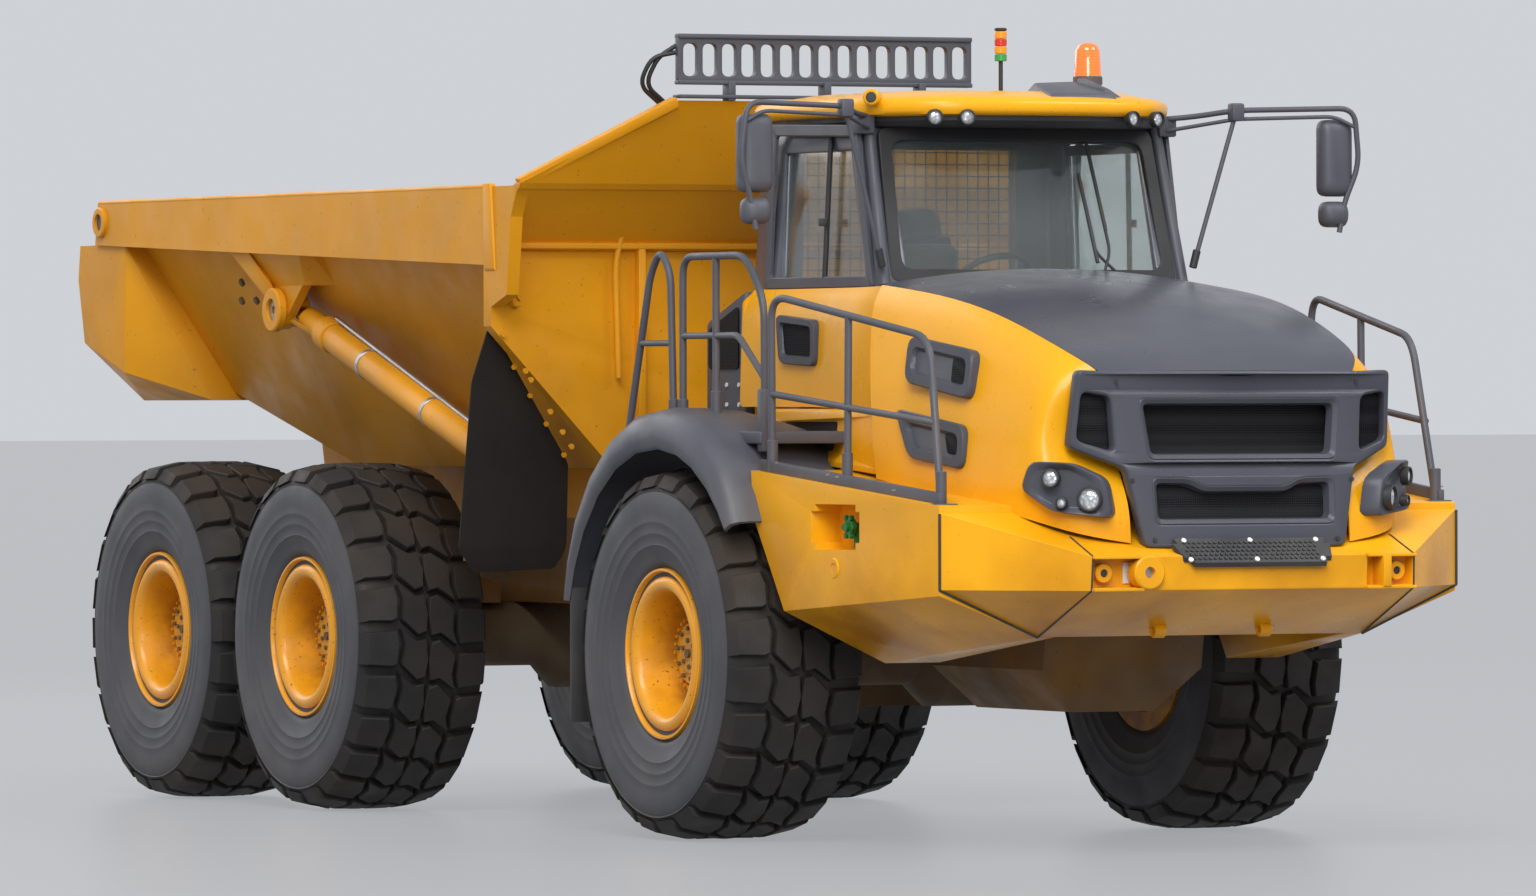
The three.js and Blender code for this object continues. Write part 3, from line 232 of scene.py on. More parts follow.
DUST = (0.30, 0.19, 0.08)
MUD = (0.12, 0.07, 0.03)
YELLOW = (0.92, 0.42, 0.006)
GRAPHITE = (0.075, 0.078, 0.098)
# The yellow panels turn a darker yellow in patches below 1.05 m, fading out by 1.7 m: partly grime, partly
# painted shade on the low faces.
panel_yellow = worn("panel_yellow", YELLOW, (0.50, 0.19, 0.003), 1.0, 1.05, 1.7, 0.15, (0.24, 0.38), 0.3,
                    coat=0.1, bump=0.02, shine=0.3)
# The body's second colour is a darker orange, strongest below 1.6 m and fading up to 3.4 m: partly dust,
# partly painted shade on its inward sloping walls.
body_yellow = worn("body_yellow", (0.80, 0.34, 0.006), (0.42, 0.17, 0.008), 0.85, 1.6, 3.4, 0.25, (0.35, 0.6),
                   0.5, bump=0.04, shift=3.0, patch=1.1, shine=0.35)
frame_yellow = worn("frame_yellow", (0.20, 0.088, 0.009), MUD, 1.0, 0.3, 1.9, 0.7, (0.5, 0.8), 0.6, shift=6.0,
                    patch=2.6)
graphite = worn("graphite", GRAPHITE, (0.16, 0.15, 0.14), 0.45, 1.0, 3.0, 0.15, (0.38, 0.55), 0.15, 260.0,
                0.1)
hood_graphite = worn("hood_graphite", (0.070, 0.073, 0.092), (0.11, 0.11, 0.12), 0.3, 1.0, 3.0, 0.3,
                     (0.26, 0.36), 0.0, coat=0.05, bump=0.01, shine=0.2)
black_plastic = worn("black_plastic", (0.022, 0.022, 0.024), (0.10, 0.09, 0.08), 0.35, 0.6, 2.6, 0.12,
                     (0.45, 0.65), 0.1, 260.0, 0.12)
steel = worn("steel", (0.42, 0.42, 0.43), DUST, 0.5, 0.6, 2.5, 0.25, (0.3, 0.5), 0.2, metal=0.9)
cast_iron = worn("cast_iron", (0.16, 0.11, 0.06), MUD, 0.8, 0.3, 1.5, 0.5, (0.6, 0.85), 0.4, 40.0, 0.35)

# ---- tyres ----
# Radial earthmover tyres: a smooth carcass with rings pressed into its side, and four rows of thick
# interlocking blocks. One pitch of the tread is modelled and a tree repeats it round the carcass.
tyre_low, tyre_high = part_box("tyre_front_right")
TYRE_RADIUS = (tyre_high.z - tyre_low.z) / 2
TYRE_HALF = (tyre_high.x - tyre_low.x) / 2
TREAD_HALF = TYRE_HALF - 0.03
TREAD_DEPTH = 0.052
PITCHES = 24
HALF_PITCH = math.pi * TYRE_RADIUS / PITCHES
NOTCH = 0.027
GROOVE = 0.017
WELD = 1e-5


def ring_body(profile, sides):
    """A body of revolution about X; the profile of (x, radius) points closes on itself or on the axis."""
    shape = bmesh.new()
    rings = []
    for x, radius in profile:
        if radius < 1e-6:
            rings.append([shape.verts.new((x, 0, 0))] * sides)
            continue
        turn = [2 * math.pi * i / sides for i in range(sides)]
        rings.append([shape.verts.new((x, radius * math.sin(a), radius * math.cos(a))) for a in turn])
    closed = profile[0][1] > 1e-6
    for i in range(len(rings) if closed else len(rings) - 1):
        here, there = rings[i], rings[(i + 1) % len(rings)]
        for j in range(sides):
            corners = [here[j], there[j], there[(j + 1) % sides], here[(j + 1) % sides]]
            face = [v for k, v in enumerate(corners) if v not in corners[:k]]
            if len(face) > 2:
                shape.faces.new(face)
    bmesh.ops.recalc_face_normals(shape, faces=shape.faces)
    return shape


def smoothed(mesh, angle):
    mesh.polygons.foreach_set("use_smooth", [True] * len(mesh.polygons))
    mesh.set_sharp_from_angle(angle=math.radians(angle))
    return mesh


def as_mesh(name, shape, finish=None, angle=35):
    mesh = bpy.data.meshes.new(name)
    shape.to_mesh(mesh)
    shape.free()
    if finish:
        mesh.materials.append(finish)
    return smoothed(mesh, angle)


def settled(work):
    """The mesh of an object with its modifiers applied; the object itself goes."""
    bpy.context.view_layer.update()
    graph = bpy.context.evaluated_depsgraph_get()
    result = bpy.data.meshes.new_from_object(work.evaluated_get(graph), depsgraph=graph)
    bpy.data.objects.remove(work)
    return result


def tread_block(shape, outline):
    """One block; its outline is (u along the tread, v across it), and the outer edge of a shoulder block
    runs down onto the side of the carcass."""
    u_mid = sum(u for u, v in outline) / len(outline)
    v_mid = sum(v for u, v in outline) / len(outline)

    def ring(scale, drop):
        points = []
        for u, v in outline:
            wide = v_mid + (v - v_mid) * scale
            deep = TYRE_RADIUS - 0.034 * (abs(v) / TREAD_HALF) ** 3.5 - drop
            if abs(v) > TREAD_HALF - 0.01 and drop > 0.02:
                wide, deep = math.copysign(TYRE_HALF - 0.006, v), TYRE_RADIUS - 0.092
            angle = (u_mid + (u - u_mid) * scale) / TYRE_RADIUS
            points.append(shape.verts.new((wide, deep * math.sin(angle), deep * math.cos(angle))))
        return points

    top, edge, base = ring(0.88, 0.0), ring(0.93, 0.006), ring(0.985, TREAD_DEPTH)
    shape.faces.new(top)
    shape.faces.new(base[::-1])
    for upper, lower in ((top, edge), (edge, base)):
        for i, corner in enumerate(upper):
            after = (i + 1) % len(upper)
            shape.faces.new((corner, lower[i], lower[after], upper[after]))


SHOULDER_ROW = [(-HALF_PITCH + NOTCH, TREAD_HALF), (HALF_PITCH - NOTCH, TREAD_HALF),
                (HALF_PITCH - NOTCH + 0.004, 0.205), (HALF_PITCH - 0.035, 0.178), (-0.03, 0.166),
                (-HALF_PITCH + GROOVE, 0.182)]
MIDDLE_ROW = [(-0.116, 0.168), (-0.03, 0.142), (0.078, 0.156), (0.096, 0.150), (0.176, 0.060), (0.160, 0.010),
              (0.060, -0.004), (-0.056, 0.014), (-0.044, 0.066)]
pitch_shape = bmesh.new()
for outline in (SHOULDER_ROW, MIDDLE_ROW):
    tread_block(pitch_shape, outline)
    tread_block(pitch_shape, [(HALF_PITCH - u, -v) for u, v in outline])
bmesh.ops.recalc_face_normals(pitch_shape, faces=pitch_shape.faces)


class Tree(Nodes):
    """A geometry tree with named inputs, one of them the finish of what it makes."""

    def __init__(self, name, inputs):
        super().__init__(bpy.data.node_groups.new(name, "GeometryNodeTree"))
        self.tree.is_modifier = True
        for label, kind in {"Geometry": "Geometry", **inputs, "Finish": "Material"}.items():
            self.tree.interface.new_socket(label, in_out="INPUT", socket_type="NodeSocket" + kind)
        self.tree.interface.new_socket("Geometry", in_out="OUTPUT", socket_type="NodeSocketGeometry")
        self.given = self.add("NodeGroupInput")

    def end(self, instances):
        real = self.add("GeometryNodeRealizeInstances", {0: instances})[0]
        painted = self.add("GeometryNodeSetMaterial", {"Geometry": real, "Material": self.given["Finish"]})[0]
        self.add("NodeGroupOutput", {0: painted})

    def grown(self, mesh, **settings):
        """What the tree makes of the mesh, as a plain mesh."""
        seed = added("seed", mesh)
        modifier = seed.modifiers.new("tree", "NODES")
        modifier.node_group = self.tree
        for socket in self.tree.interface.items_tree:
            if socket.in_out == "INPUT" and socket.name in settings:
                modifier[socket.identifier] = settings[socket.name]
        result = settled(seed)
        result.materials.clear()
        result.materials.append(settings["Finish"])
        return result


wheel_ring = Tree("round_the_axle", {"Count": "Int"})
copies = wheel_ring.given["Count"]
spokes = wheel_ring.add("GeometryNodeMeshLine", {"Offset": (0, 0, 0), "Count": copies})["Mesh"]
share = wheel_ring.maths("DIVIDE", 2 * math.pi, copies)
step = wheel_ring.maths("MULTIPLY", wheel_ring.add("GeometryNodeInputIndex")[0], share)
turn = wheel_ring.add("ShaderNodeCombineXYZ", {"X": step})[0]
wheel_ring.end(wheel_ring.add("GeometryNodeInstanceOnPoints", {
    "Points": spokes, "Instance": wheel_ring.given["Geometry"], "Rotation": turn})[0])

sidewall = worn("tyre_side", (0.060, 0.061, 0.070), (0.11, 0.10, 0.10), 0.5, 0.1, 1.6, 0.35, (0.55, 0.75),
                0.2, 160.0, 0.12)
tread_rubber = worn("tyre_tread", (0.013, 0.012, 0.012), (0.045, 0.030, 0.019), 0.5, 0.8, 1.7, 0.9,
                    (0.6, 0.85), 0.2, 120.0, 0.2)
SIDE_RINGS = [(0.0, 0.878), (0.16, 0.875), (0.27, 0.866), (0.325, 0.85), (0.352, 0.83), (0.363, 0.812),
              (0.360, 0.806), (0.368, 0.792), (0.3735, 0.74), (0.375, 0.70), (0.3725, 0.662), (0.3745, 0.657),
              (0.3725, 0.652), (0.366, 0.606), (0.3685, 0.600), (0.3655, 0.594), (0.356, 0.548),
              (0.3585, 0.542), (0.3545, 0.536), (0.343, 0.50), (0.333, 0.478), (0.331, 0.462), (0.320, 0.445),
              (0.303, 0.432), (0.300, 0.352)]
BASE_LIFT = 0.002
groove_floor = [(x, radius + BASE_LIFT) for x, radius in SIDE_RINGS[:6]]
groove_floor = [(-x, radius) for x, radius in groove_floor[:0:-1]] + groove_floor
groove_floor += [(x * 0.97, radius - 0.02) for x, radius in groove_floor[::-1]]
tyre_parts = [
    (as_mesh("carcass", ring_body(SIDE_RINGS + [(-x, radius) for x, radius in SIDE_RINGS[:0:-1]], 96),
             angle=50),
     sidewall),
    (as_mesh("groove_floor", ring_body(groove_floor + groove_floor[:1], 96), angle=50), tread_rubber),
    (wheel_ring.grown(as_mesh("tread_pitch", pitch_shape, angle=25), Count=PITCHES, Finish=tread_rubber),
     tread_rubber)]


def piece(name, mesh, body, stands_for=()):
    """Puts a finished mesh on the truck, riding on a body."""
    made = added(name, mesh)
    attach(made, body)
    if stands_for:
        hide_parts(*stands_for)
    return made


def joined(name, parts):
    """One mesh from (mesh, material, matrix) parts."""
    whole = bmesh.new()
    materials = []
    for mesh, material, matrix in parts:
        start = len(whole.faces)
        copy = mesh.copy()
        copy.transform(matrix)
        whole.from_mesh(copy)
        bpy.data.meshes.remove(copy)
        if material not in materials:
            materials.append(material)
        whole.faces.ensure_lookup_table()
        for face in whole.faces[start:]:
            face.material_index = materials.index(material)
    result = bpy.data.meshes.new(name)
    whole.to_mesh(result)
    whole.free()
    for material in materials:
        result.materials.append(material)
    return result


wheel_turns = {}
for axle in ("front", "middle", "rear"):
    for side in ("right", "left"):
        low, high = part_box(f"tyre_{axle}_{side}")
        outwards = Matrix.Rotation(math.pi if side == "right" else 0, 4, "Z")
        wheel_turns[f"{axle}_{side}"] = (Matrix.Translation((low + high) / 2) @ outwards
                                         @ Matrix.Rotation(0.11 + 0.31 * len(wheel_turns), 4, "X"))
        place = f"tyre_{axle}_{side}"
        mesh = joined(place, [(*part, wheel_turns[f"{axle}_{side}"]) for part in tyre_parts])
        piece(f"{place}_tread", mesh, f"{axle}_wheel_{side}", [place])

# ---- rims ----
# Steel five-piece rims: an outer flange, a gap, the lock ring, a deep dish and the hub in it, which a ring
# of studs holds. A second tree sets bolts on marked points.
rim = Finish("rim_yellow")
outward = rim.add("ShaderNodeMath", {0: rim.axis("X")}, operation="ABSOLUTE")[0]
# The rim's paint turns a darker orange in patches deeper in towards the truck, into the dish: partly dirt,
# partly painted shade in the recess.
dirt_and_shade = rim.maths("MULTIPLY", rim.ramp(rim.noise(7.0), 0.35, 0.62), rim.ramp(outward, 1.40, 1.64, 0.95, 0.1),
                 True)
chips = rim.ramp(rim.noise(55.0, 3, 5.0), 0.66, 0.72, 0.0, 0.75)
rim_yellow = rim.done({
    "Base Color": rim.mixed(chips, rim.mixed(dirt_and_shade, (0.85, 0.36, 0.008), (0.36, 0.13, 0.008)),
                            (0.05, 0.03, 0.02)),
    "Roughness": rim.ramp(rim.noise(9.0), 0.3, 0.7, 0.28, 0.5), "Coat Weight": 0.2})
RIM_PROFILE = [(0.176, 0.0), (0.176, 0.096), (0.168, 0.104), (0.168, 0.148), (0.160, 0.157), (0.150, 0.160),
               (0.150, 0.182), (0.142, 0.190), (0.100, 0.194), (0.052, 0.216), (0.050, 0.260), (0.060, 0.270),
               (0.13, 0.284), (0.22, 0.300), (0.285, 0.310), (0.305, 0.317), (0.318, 0.329), (0.323, 0.346),
               (0.321, 0.366), (0.310, 0.382), (0.290, 0.388), (0.272, 0.391), (0.268, 0.397), (0.274, 0.403),
               (0.316, 0.407), (0.326, 0.413), (0.325, 0.424), (0.303, 0.427), (0.298, 0.348),
               (-0.298, 0.348), (-0.303, 0.427), (-0.324, 0.424), (-0.324, 0.33), (-0.30, 0.318),
               (-0.10, 0.300), (-0.10, 0.27), (-0.15, 0.25), (-0.178, 0.25), (-0.178, 0.0)]
rim_mesh = as_mesh("rim", ring_body(RIM_PROFILE, 80), rim_yellow, 40)

bolt_ring = Tree("bolts_on_points", {"Radius": "Float", "Height": "Float", "Sides": "Int"})
given = bolt_ring.given
shank = bolt_ring.add("GeometryNodeMeshCylinder", {"Radius": given["Radius"], "Depth": given["Height"],
                                                   "Vertices": given["Sides"]})["Mesh"]
lift = bolt_ring.add("ShaderNodeCombineXYZ", {"Z": bolt_ring.maths("MULTIPLY", given["Height"], 0.45)})[0]
head = bolt_ring.add("GeometryNodeTransform", {0: shank, "Translation": lift})[0]
outwards = bolt_ring.add("GeometryNodeInputNamedAttribute", {"Name": "out"},
                         data_type="FLOAT_VECTOR")["Attribute"]
lean = bolt_ring.add("FunctionNodeAlignRotationToVector", {"Vector": outwards}, axis="Z")[0]
bolt_ring.end(bolt_ring.add("GeometryNodeInstanceOnPoints", {"Points": given["Geometry"], "Instance": head,
                                                             "Rotation": lean})[0])


def bolts(points, radius, height, finish, sides=6):
    """Bolt heads on (place, direction) points, as one plain mesh."""
    marks = bpy.data.meshes.new("bolt_marks")
    marks.from_pydata([tuple(place) for place, direction in points], [], [])
    out = marks.attributes.new("out", "FLOAT_VECTOR", "POINT")
    out.data.foreach_set("vector", [value for place, direction in points for value in direction])
    return bolt_ring.grown(marks, Radius=radius, Height=height, Sides=sides, Finish=finish)


def bolt_circle(x, radius, count):
    turns = [2 * math.pi * i / count for i in range(count)]
    return [((x, radius * math.sin(turn), radius * math.cos(turn)), (1, 0, 0)) for turn in turns]


rim_parts = [rim_mesh, bolts(bolt_circle(0.150, 0.172, 26), 0.010, 0.024, rim_yellow),
             bolts(bolt_circle(0.168, 0.126, 10), 0.011, 0.014, cast_iron),
             bolts(bolt_circle(0.176, 0.066, 6), 0.012, 0.010, cast_iron, 12),
             bolts([((0.176, 0, 0), (1, 0, 0))], 0.022, 0.016, cast_iron, 16)]
for place, turn in wheel_turns.items():
    axle, side = place.split("_")
    mesh = joined(f"rim_{place}", [(mesh, mesh.materials[0], turn) for mesh in rim_parts])
    piece(f"rim_{place}_dish", mesh, f"{axle}_wheel_{side}", [f"rim_{place}"])


# ---- frames, axles and hitch ----
# Welded box sections and castings. Each is the plain solid with its facets merged and its edges broken, in
# chassis paint that road dirt has browned.
def dressed(node, body, finish, edge=0.006, angle=35, cuts=(), steps=2):
    """A copy of a plain solid with flat faces made whole, holes cut and edges rounded."""
    shape = bmesh.new()
    shape.from_mesh(frame["nodes"][node].data)
    bmesh.ops.remove_doubles(shape, verts=shape.verts, dist=2e-4)
    bmesh.ops.dissolve_limit(shape, angle_limit=math.radians(1.0), verts=shape.verts, edges=shape.edges)
    mesh = bpy.data.meshes.new(node + "_dressed")
    shape.to_mesh(mesh)
    shape.free()
    work = added("work", mesh)
    for tool in cuts:
        cutter = work.modifiers.new("cut", "BOOLEAN")
        cutter.object = tool
        cutter.solver = "EXACT"
    if edge:
        bevel = work.modifiers.new("edges", "BEVEL")
        bevel.width = edge
        bevel.segments = steps
        bevel.limit_method = "ANGLE"
        bevel.angle_limit = math.radians(angle)
    result = smoothed(settled(work), angle)
    for tool in cuts:
        bpy.data.objects.remove(tool)
    result.materials.clear()
    result.materials.append(finish)
    piece(node + "_made", result, body, [node])


for node, body, finish, slot in (
        ("front_frame", "front_unit", frame_yellow, "yellow_paint"),
        ("engine", "front_unit", steel, "bare_steel"), ("front_axle", "front_unit", cast_iron, "cast_axle"),
        ("middle_axle", "rear_unit", cast_iron, "cast_axle"),
        ("rear_axle", "rear_unit", cast_iron, "cast_axle"), ("hitch", "hitch", frame_yellow, "yellow_paint"),
        ("rear_frame", "rear_unit", frame_yellow, "yellow_paint"),
        ("walking_beam_right", "rear_unit", frame_yellow, "yellow_paint"),
        ("walking_beam_left", "rear_unit", frame_yellow, "yellow_paint"),
        ("deck_right", "front_unit", graphite, "yellow_paint"),
        ("deck_left", "front_unit", graphite, "yellow_paint")):
    dressed(node, body, finish)

# ---- bumper ----
# A folded plate beam: a flat nose, a slanted lower face and two swept wings, with a pocket for the tow eyes
# at each end of the nose and a black step plate bolted on between them.
BUMPER_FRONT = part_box("front_bumper")[0].y - AXLE_Y
white_cap = worn("white_cap", (0.75, 0.75, 0.74), DUST, 0.2)


def cube_on(corners):
    """A box on eight corners, x changing slowest and z fastest."""
    shape = bmesh.new()
    bmesh.ops.create_cube(shape, size=1)
    for v, corner in zip(list(shape.verts), corners):
        v.co = at(*corner)
    bmesh.ops.recalc_face_normals(shape, faces=shape.faces)
    return shape


def between(low, high):
    """The eight corners of a box between two of them."""
    xs, ys, zs = (sorted(pair) for pair in zip(low, high))
    return [(x, y, z) for x in xs for y in ys for z in zs]


def cutter_box(low, high, edge):
    shape = cube_on(between(low, high))
    along_x = [e for e in shape.edges if abs(e.verts[0].co.x - e.verts[1].co.x) > 1e-4]
    if edge:
        bmesh.ops.bevel(shape, geom=along_x, offset=edge, segments=4, affect="EDGES")
    mesh = bpy.data.meshes.new("cutter")
    shape.to_mesh(mesh)
    shape.free()
    return added("cutter", mesh)


def block(name, finish, edge, corners, side=1):
    """A plate or block on eight corners, x counted outwards on its side, with its edges broken."""
    shape = cube_on([(side * x, y, z) for x, y, z in corners])
    bmesh.ops.bevel(shape, geom=shape.edges[:], offset=edge, segments=2, affect="EDGES", profile=0.5)
    return as_mesh(name, shape, finish, 40)


def bar_box(name, low, high, finish, edge=0.004):
    return block(name, finish, edge, between(low, high))


def pointed(shape, place, along):
    """Turns a body of revolution from X to a direction, and puts it in its place."""
    turn = Vector((1, 0, 0)).rotation_difference(along).to_matrix().to_4x4()
    bmesh.ops.transform(shape, matrix=Matrix.Translation(place) @ turn, verts=shape.verts)


def round_bar(name, start, end, radius, finish, sides=24, edge=0.0, hole=0.0):
    """A round bar or ring between two places."""
    length = (end - start).length
    profile = [(0, hole), (0, radius - edge), (edge, radius), (length - edge, radius),
               (length, radius - edge), (length, hole)]
    if edge == 0:
        profile = [(0, hole), (0, radius), (length, radius), (length, hole)]
    shape = ring_body(profile, sides)
    pointed(shape, start, end - start)
    bmesh.ops.recalc_face_normals(shape, faces=shape.faces)
    return as_mesh(name, shape, finish)


def assembled(name, meshes, body, stands_for=()):
    """One piece from several meshes that keep their own finishes."""
    parts = [(mesh, mesh.materials[0], Matrix.Identity(4)) for mesh in meshes]
    return piece(name, joined(name, parts), body, stands_for)


def on_side(side):
    """Gives places on one side of the truck, x counted outwards."""
    return lambda x, y, z: at(side * x, y, z)


POCKET_X, POCKET_LOW, POCKET_HIGH = 0.745, 1.292, 1.428
BOSS_Z = 1.36
LUG_X, LUG_Z = -0.585, 1.362
pocket_cuts = [cutter_box((side * POCKET_X - 0.125, BUMPER_FRONT - 0.05, POCKET_LOW),
                          (side * POCKET_X + 0.125, BUMPER_FRONT + 0.075, POCKET_HIGH), 0.0)
               for side in (-1, 1)]
dressed("front_bumper", "front_unit", panel_yellow, 0.014, 20, pocket_cuts, steps=3)


def on_nose(name, x, z, front, deep, *size):
    """A round part of the nose, from in front of or behind the plate's face to some depth."""
    return round_bar(name, at(x, BUMPER_FRONT + front, z), at(x, BUMPER_FRONT + deep, z), *size)


pockets = []
for side in (-1, 1):
    for z in (POCKET_LOW - 0.018, POCKET_HIGH):
        pockets.append(bar_box("tow_plate", (side * POCKET_X - 0.135, BUMPER_FRONT - 0.026, z),
                               (side * POCKET_X + 0.135, BUMPER_FRONT + 0.05, z + 0.016), panel_yellow))
    pockets.append(on_nose("tow_boss", side * 0.80, BOSS_Z, 0.030, 0.085, 0.046, panel_yellow, 28, 0.004,
                           0.020))
    # A black plug inside the boss's hole is painted shade.
    pockets.append(on_nose("tow_hole_shade", side * 0.80, BOSS_Z, 0.040, 0.085, 0.021, black_plastic))
pockets += [on_nose("tow_lug", LUG_X, LUG_Z, -0.034, 0.05, 0.082, panel_yellow, 40, 0.008, 0.028),
            on_nose("tow_pin", LUG_X, LUG_Z, -0.006, 0.05, 0.030, steel),
            bar_box("tow_cheek", (0.69, BUMPER_FRONT - 0.034, 1.285), (0.735, BUMPER_FRONT + 0.08, 1.435),
                    panel_yellow),
            bar_box("tow_tag", (-0.68, BUMPER_FRONT + 0.066, 1.31), (-0.635, BUMPER_FRONT + 0.078, 1.41),
                    white_cap, 0.002)]
for x in (-0.29, 0.29):
    pockets.append(round_bar("lifting_ring", at(x - 0.03, -2.60, 1.075), at(x + 0.03, -2.60, 1.075), 0.036,
                             panel_yellow, 20, 0.004, 0.020))
assembled("tow_pockets", pockets, "front_unit")

STEP_HALF = 0.44
STEP_BACK, STEP_FRONT, STEP_HIGH, STEP_LOW = 0.069, -0.024, 1.500, 1.385
STEP_THICK = Vector((0, -0.008, 0.022))
STUD_ROWS, STUDS = 5, 26
step_shape = bmesh.new()
lower = [step_shape.verts.new(at(x, BUMPER_FRONT + ahead, z)) for x, ahead, z in (
    (-STEP_HALF, STEP_BACK, STEP_HIGH), (STEP_HALF, STEP_BACK, STEP_HIGH),
    (STEP_HALF - 0.03, STEP_FRONT, STEP_LOW), (-STEP_HALF + 0.07, STEP_FRONT, STEP_LOW))]
upper = [step_shape.verts.new(v.co + STEP_THICK) for v in lower]
step_shape.faces.new(lower[::-1])
step_shape.faces.new(upper)
for i in range(4):
    step_shape.faces.new((lower[i], lower[(i + 1) % 4], upper[(i + 1) % 4], upper[i]))
bmesh.ops.recalc_face_normals(step_shape, faces=step_shape.faces)
corner_edges = [e for e in step_shape.edges if (e.verts[0] in lower) != (e.verts[1] in lower)]
bmesh.ops.bevel(step_shape, geom=corner_edges, offset=0.03, segments=4, affect="EDGES")
step_foot = at(0, BUMPER_FRONT + STEP_FRONT, STEP_LOW) + STEP_THICK
slope = (at(0, STEP_BACK, STEP_HIGH) - at(0, STEP_FRONT, STEP_LOW)).normalized()
step_out = slope.cross(Vector((-1, 0, 0))).normalized()
studs = [(step_foot + Vector((-STEP_HALF + 0.08 + (2 * STEP_HALF - 0.16) * (j + 0.5 * (i % 2)) / STUDS, 0, 0))
          + slope * (0.026 + 0.095 * i / (STUD_ROWS - 1)), step_out)
         for i in range(STUD_ROWS) for j in range(STUDS)]
bosses = [(step_foot + Vector((x, 0, 0)) + slope * up, step_out)
          for x in (-0.36, 0.0, 0.36) for up in (0.016, 0.132)]
assembled("nose_step", [as_mesh("step_plate", step_shape, black_plastic, 30),
                        bolts(studs, 0.009, 0.006, black_plastic, 8),
                        bolts(bosses, 0.013, 0.008, white_cap, 10)],
          "front_unit")

# ---- side boxes ----
# Sheet steel lockers ahead of the front wheels. The right one has a recess with the green drain valve and a
# lashing ring under it; the left one has the steps cut in.
VALVE_Y, VALVE_Z = -1.56, 1.57
BOX_SIDE_X = 1.49
LASHING_Y, LASHING_Z = -1.549, 1.369
recess = cutter_box((-1.7, VALVE_Y - 0.22, VALVE_Z - 0.11),
                    (-BOX_SIDE_X + 0.12, VALVE_Y + 0.22, VALVE_Z + 0.11), 0.035)
dressed("side_box_right", "front_unit", panel_yellow, 0.016, 18, (recess,), steps=3)
dressed("side_box_left", "front_unit", panel_yellow, 0.012, 30, steps=3)
green = worn("valve_green", (0.005, 0.16, 0.02), (0.01, 0.05, 0.01), 0.4, rough=(0.3, 0.45))


def in_recess(name, start, end, *size):
    """A part of the drain valve, from and to offsets from its seat at the bottom of the recess."""
    seat = at(-BOX_SIDE_X + 0.13, VALVE_Y - 0.02, VALVE_Z)
    return round_bar(name, seat + Vector(start), seat + Vector(end), *size)


valve = [in_recess("stem", (0, 0, 0), (-0.10, 0, 0), 0.022, green),
         in_recess("hand_wheel", (-0.05, 0, 0), (-0.085, 0, 0), 0.045, green, 10, 0.006)]
for i in range(6):
    y, z = 0.05 * math.cos(2 * math.pi * i / 6), 0.05 * math.sin(2 * math.pi * i / 6)
    valve.append(in_recess("knob", (-0.068, y, z), (-0.088, y, z), 0.014, green, 10))
valve.append(in_recess("elbow", (-0.03, 0, 0), (-0.03, 0, -0.10), 0.018, green))
assembled("drain_valve", valve, "front_unit")
assembled("lashing_ring", [
    round_bar("ring", at(-1.467, LASHING_Y, LASHING_Z), at(-1.509, LASHING_Y, LASHING_Z), 0.052, panel_yellow,
              32, 0.006, 0.026),
    # A black disc inside the ring's hole is painted shade.
    round_bar("ring_hole_shade", at(-1.477, LASHING_Y, LASHING_Z), at(-1.497, LASHING_Y, LASHING_Z), 0.027,
              black_plastic)], "front_unit")

# ---- mudguards ----
# Moulded guards over the front wheels: an arch that swells into a rounded outer lip, and a rubber flap
# hung behind the tyre. Sections across the guard are lofted round the wheel.
GUARD_CLEARANCE = 0.095
GUARD_ANGLES = [14, 24, 36, 50, 64, 78, 92, 104, 116, 127, 136, 143]
GUARD_HEIGHTS = [0.06, 0.09, 0.125, 0.155, 0.185, 0.20, 0.205, 0.205, 0.195, 0.165, 0.125, 0.09]
GUARD_WALL = 0.014


def lofted(sections, caps=True):
    """A skin through rows of points, each row a closed loop."""
    shape = bmesh.new()
    rows = [[shape.verts.new(point) for point in section] for section in sections]
    count = len(rows[0])
    for here, there in zip(rows, rows[1:]):
        for j in range(count):
            after = (j + 1) % count
            shape.faces.new((here[j], here[after], there[after], there[j]))
    if caps:
        shape.faces.new(rows[0][::-1])
        shape.faces.new(rows[-1])
    bmesh.ops.recalc_face_normals(shape, faces=shape.faces)
    return shape


for side, label in ((-1, "right"), (1, "left")):
    sections = []
    for degrees, height in zip(GUARD_ANGLES, GUARD_HEIGHTS):
        skin = [(1.715, 0.0), (1.738, 0.012), (1.742, 0.35 * height), (1.730, 0.72 * height),
                (1.690, 0.93 * height), (1.62, height), (1.45, height * 0.98), (1.25, height * 0.9),
                (1.02, height * 0.62)]
        under = [(x - 0.020 * (1 if x > 1.5 else 0), max(r - GUARD_WALL, -0.006)) for x, r in skin[1:]][::-1]
        angle = math.radians(degrees)
        sections.append([])
        for x, rise in skin + under:
            reach = TYRE_RADIUS + GUARD_CLEARANCE + rise
            sections[-1].append(at(side * x, reach * math.cos(angle), TYRE_RADIUS + reach * math.sin(angle)))
    assembled(f"mudguard_{label}_moulding", [
        as_mesh("guard", lofted(sections), graphite, 60),
        bar_box("flap", (side * 1.2, 0.985, 0.56), (side * 1.71, 1.003, 1.24), black_plastic)],
              "front_unit", [f"mudguard_{label}"])

# ---- handrails ----
# Bent steel tube, welded at the joints, with sleeves at the feet and a flat foot rail along the side box.
RAIL_RADIUS = 0.019
UP = Vector((0, 0, 1))


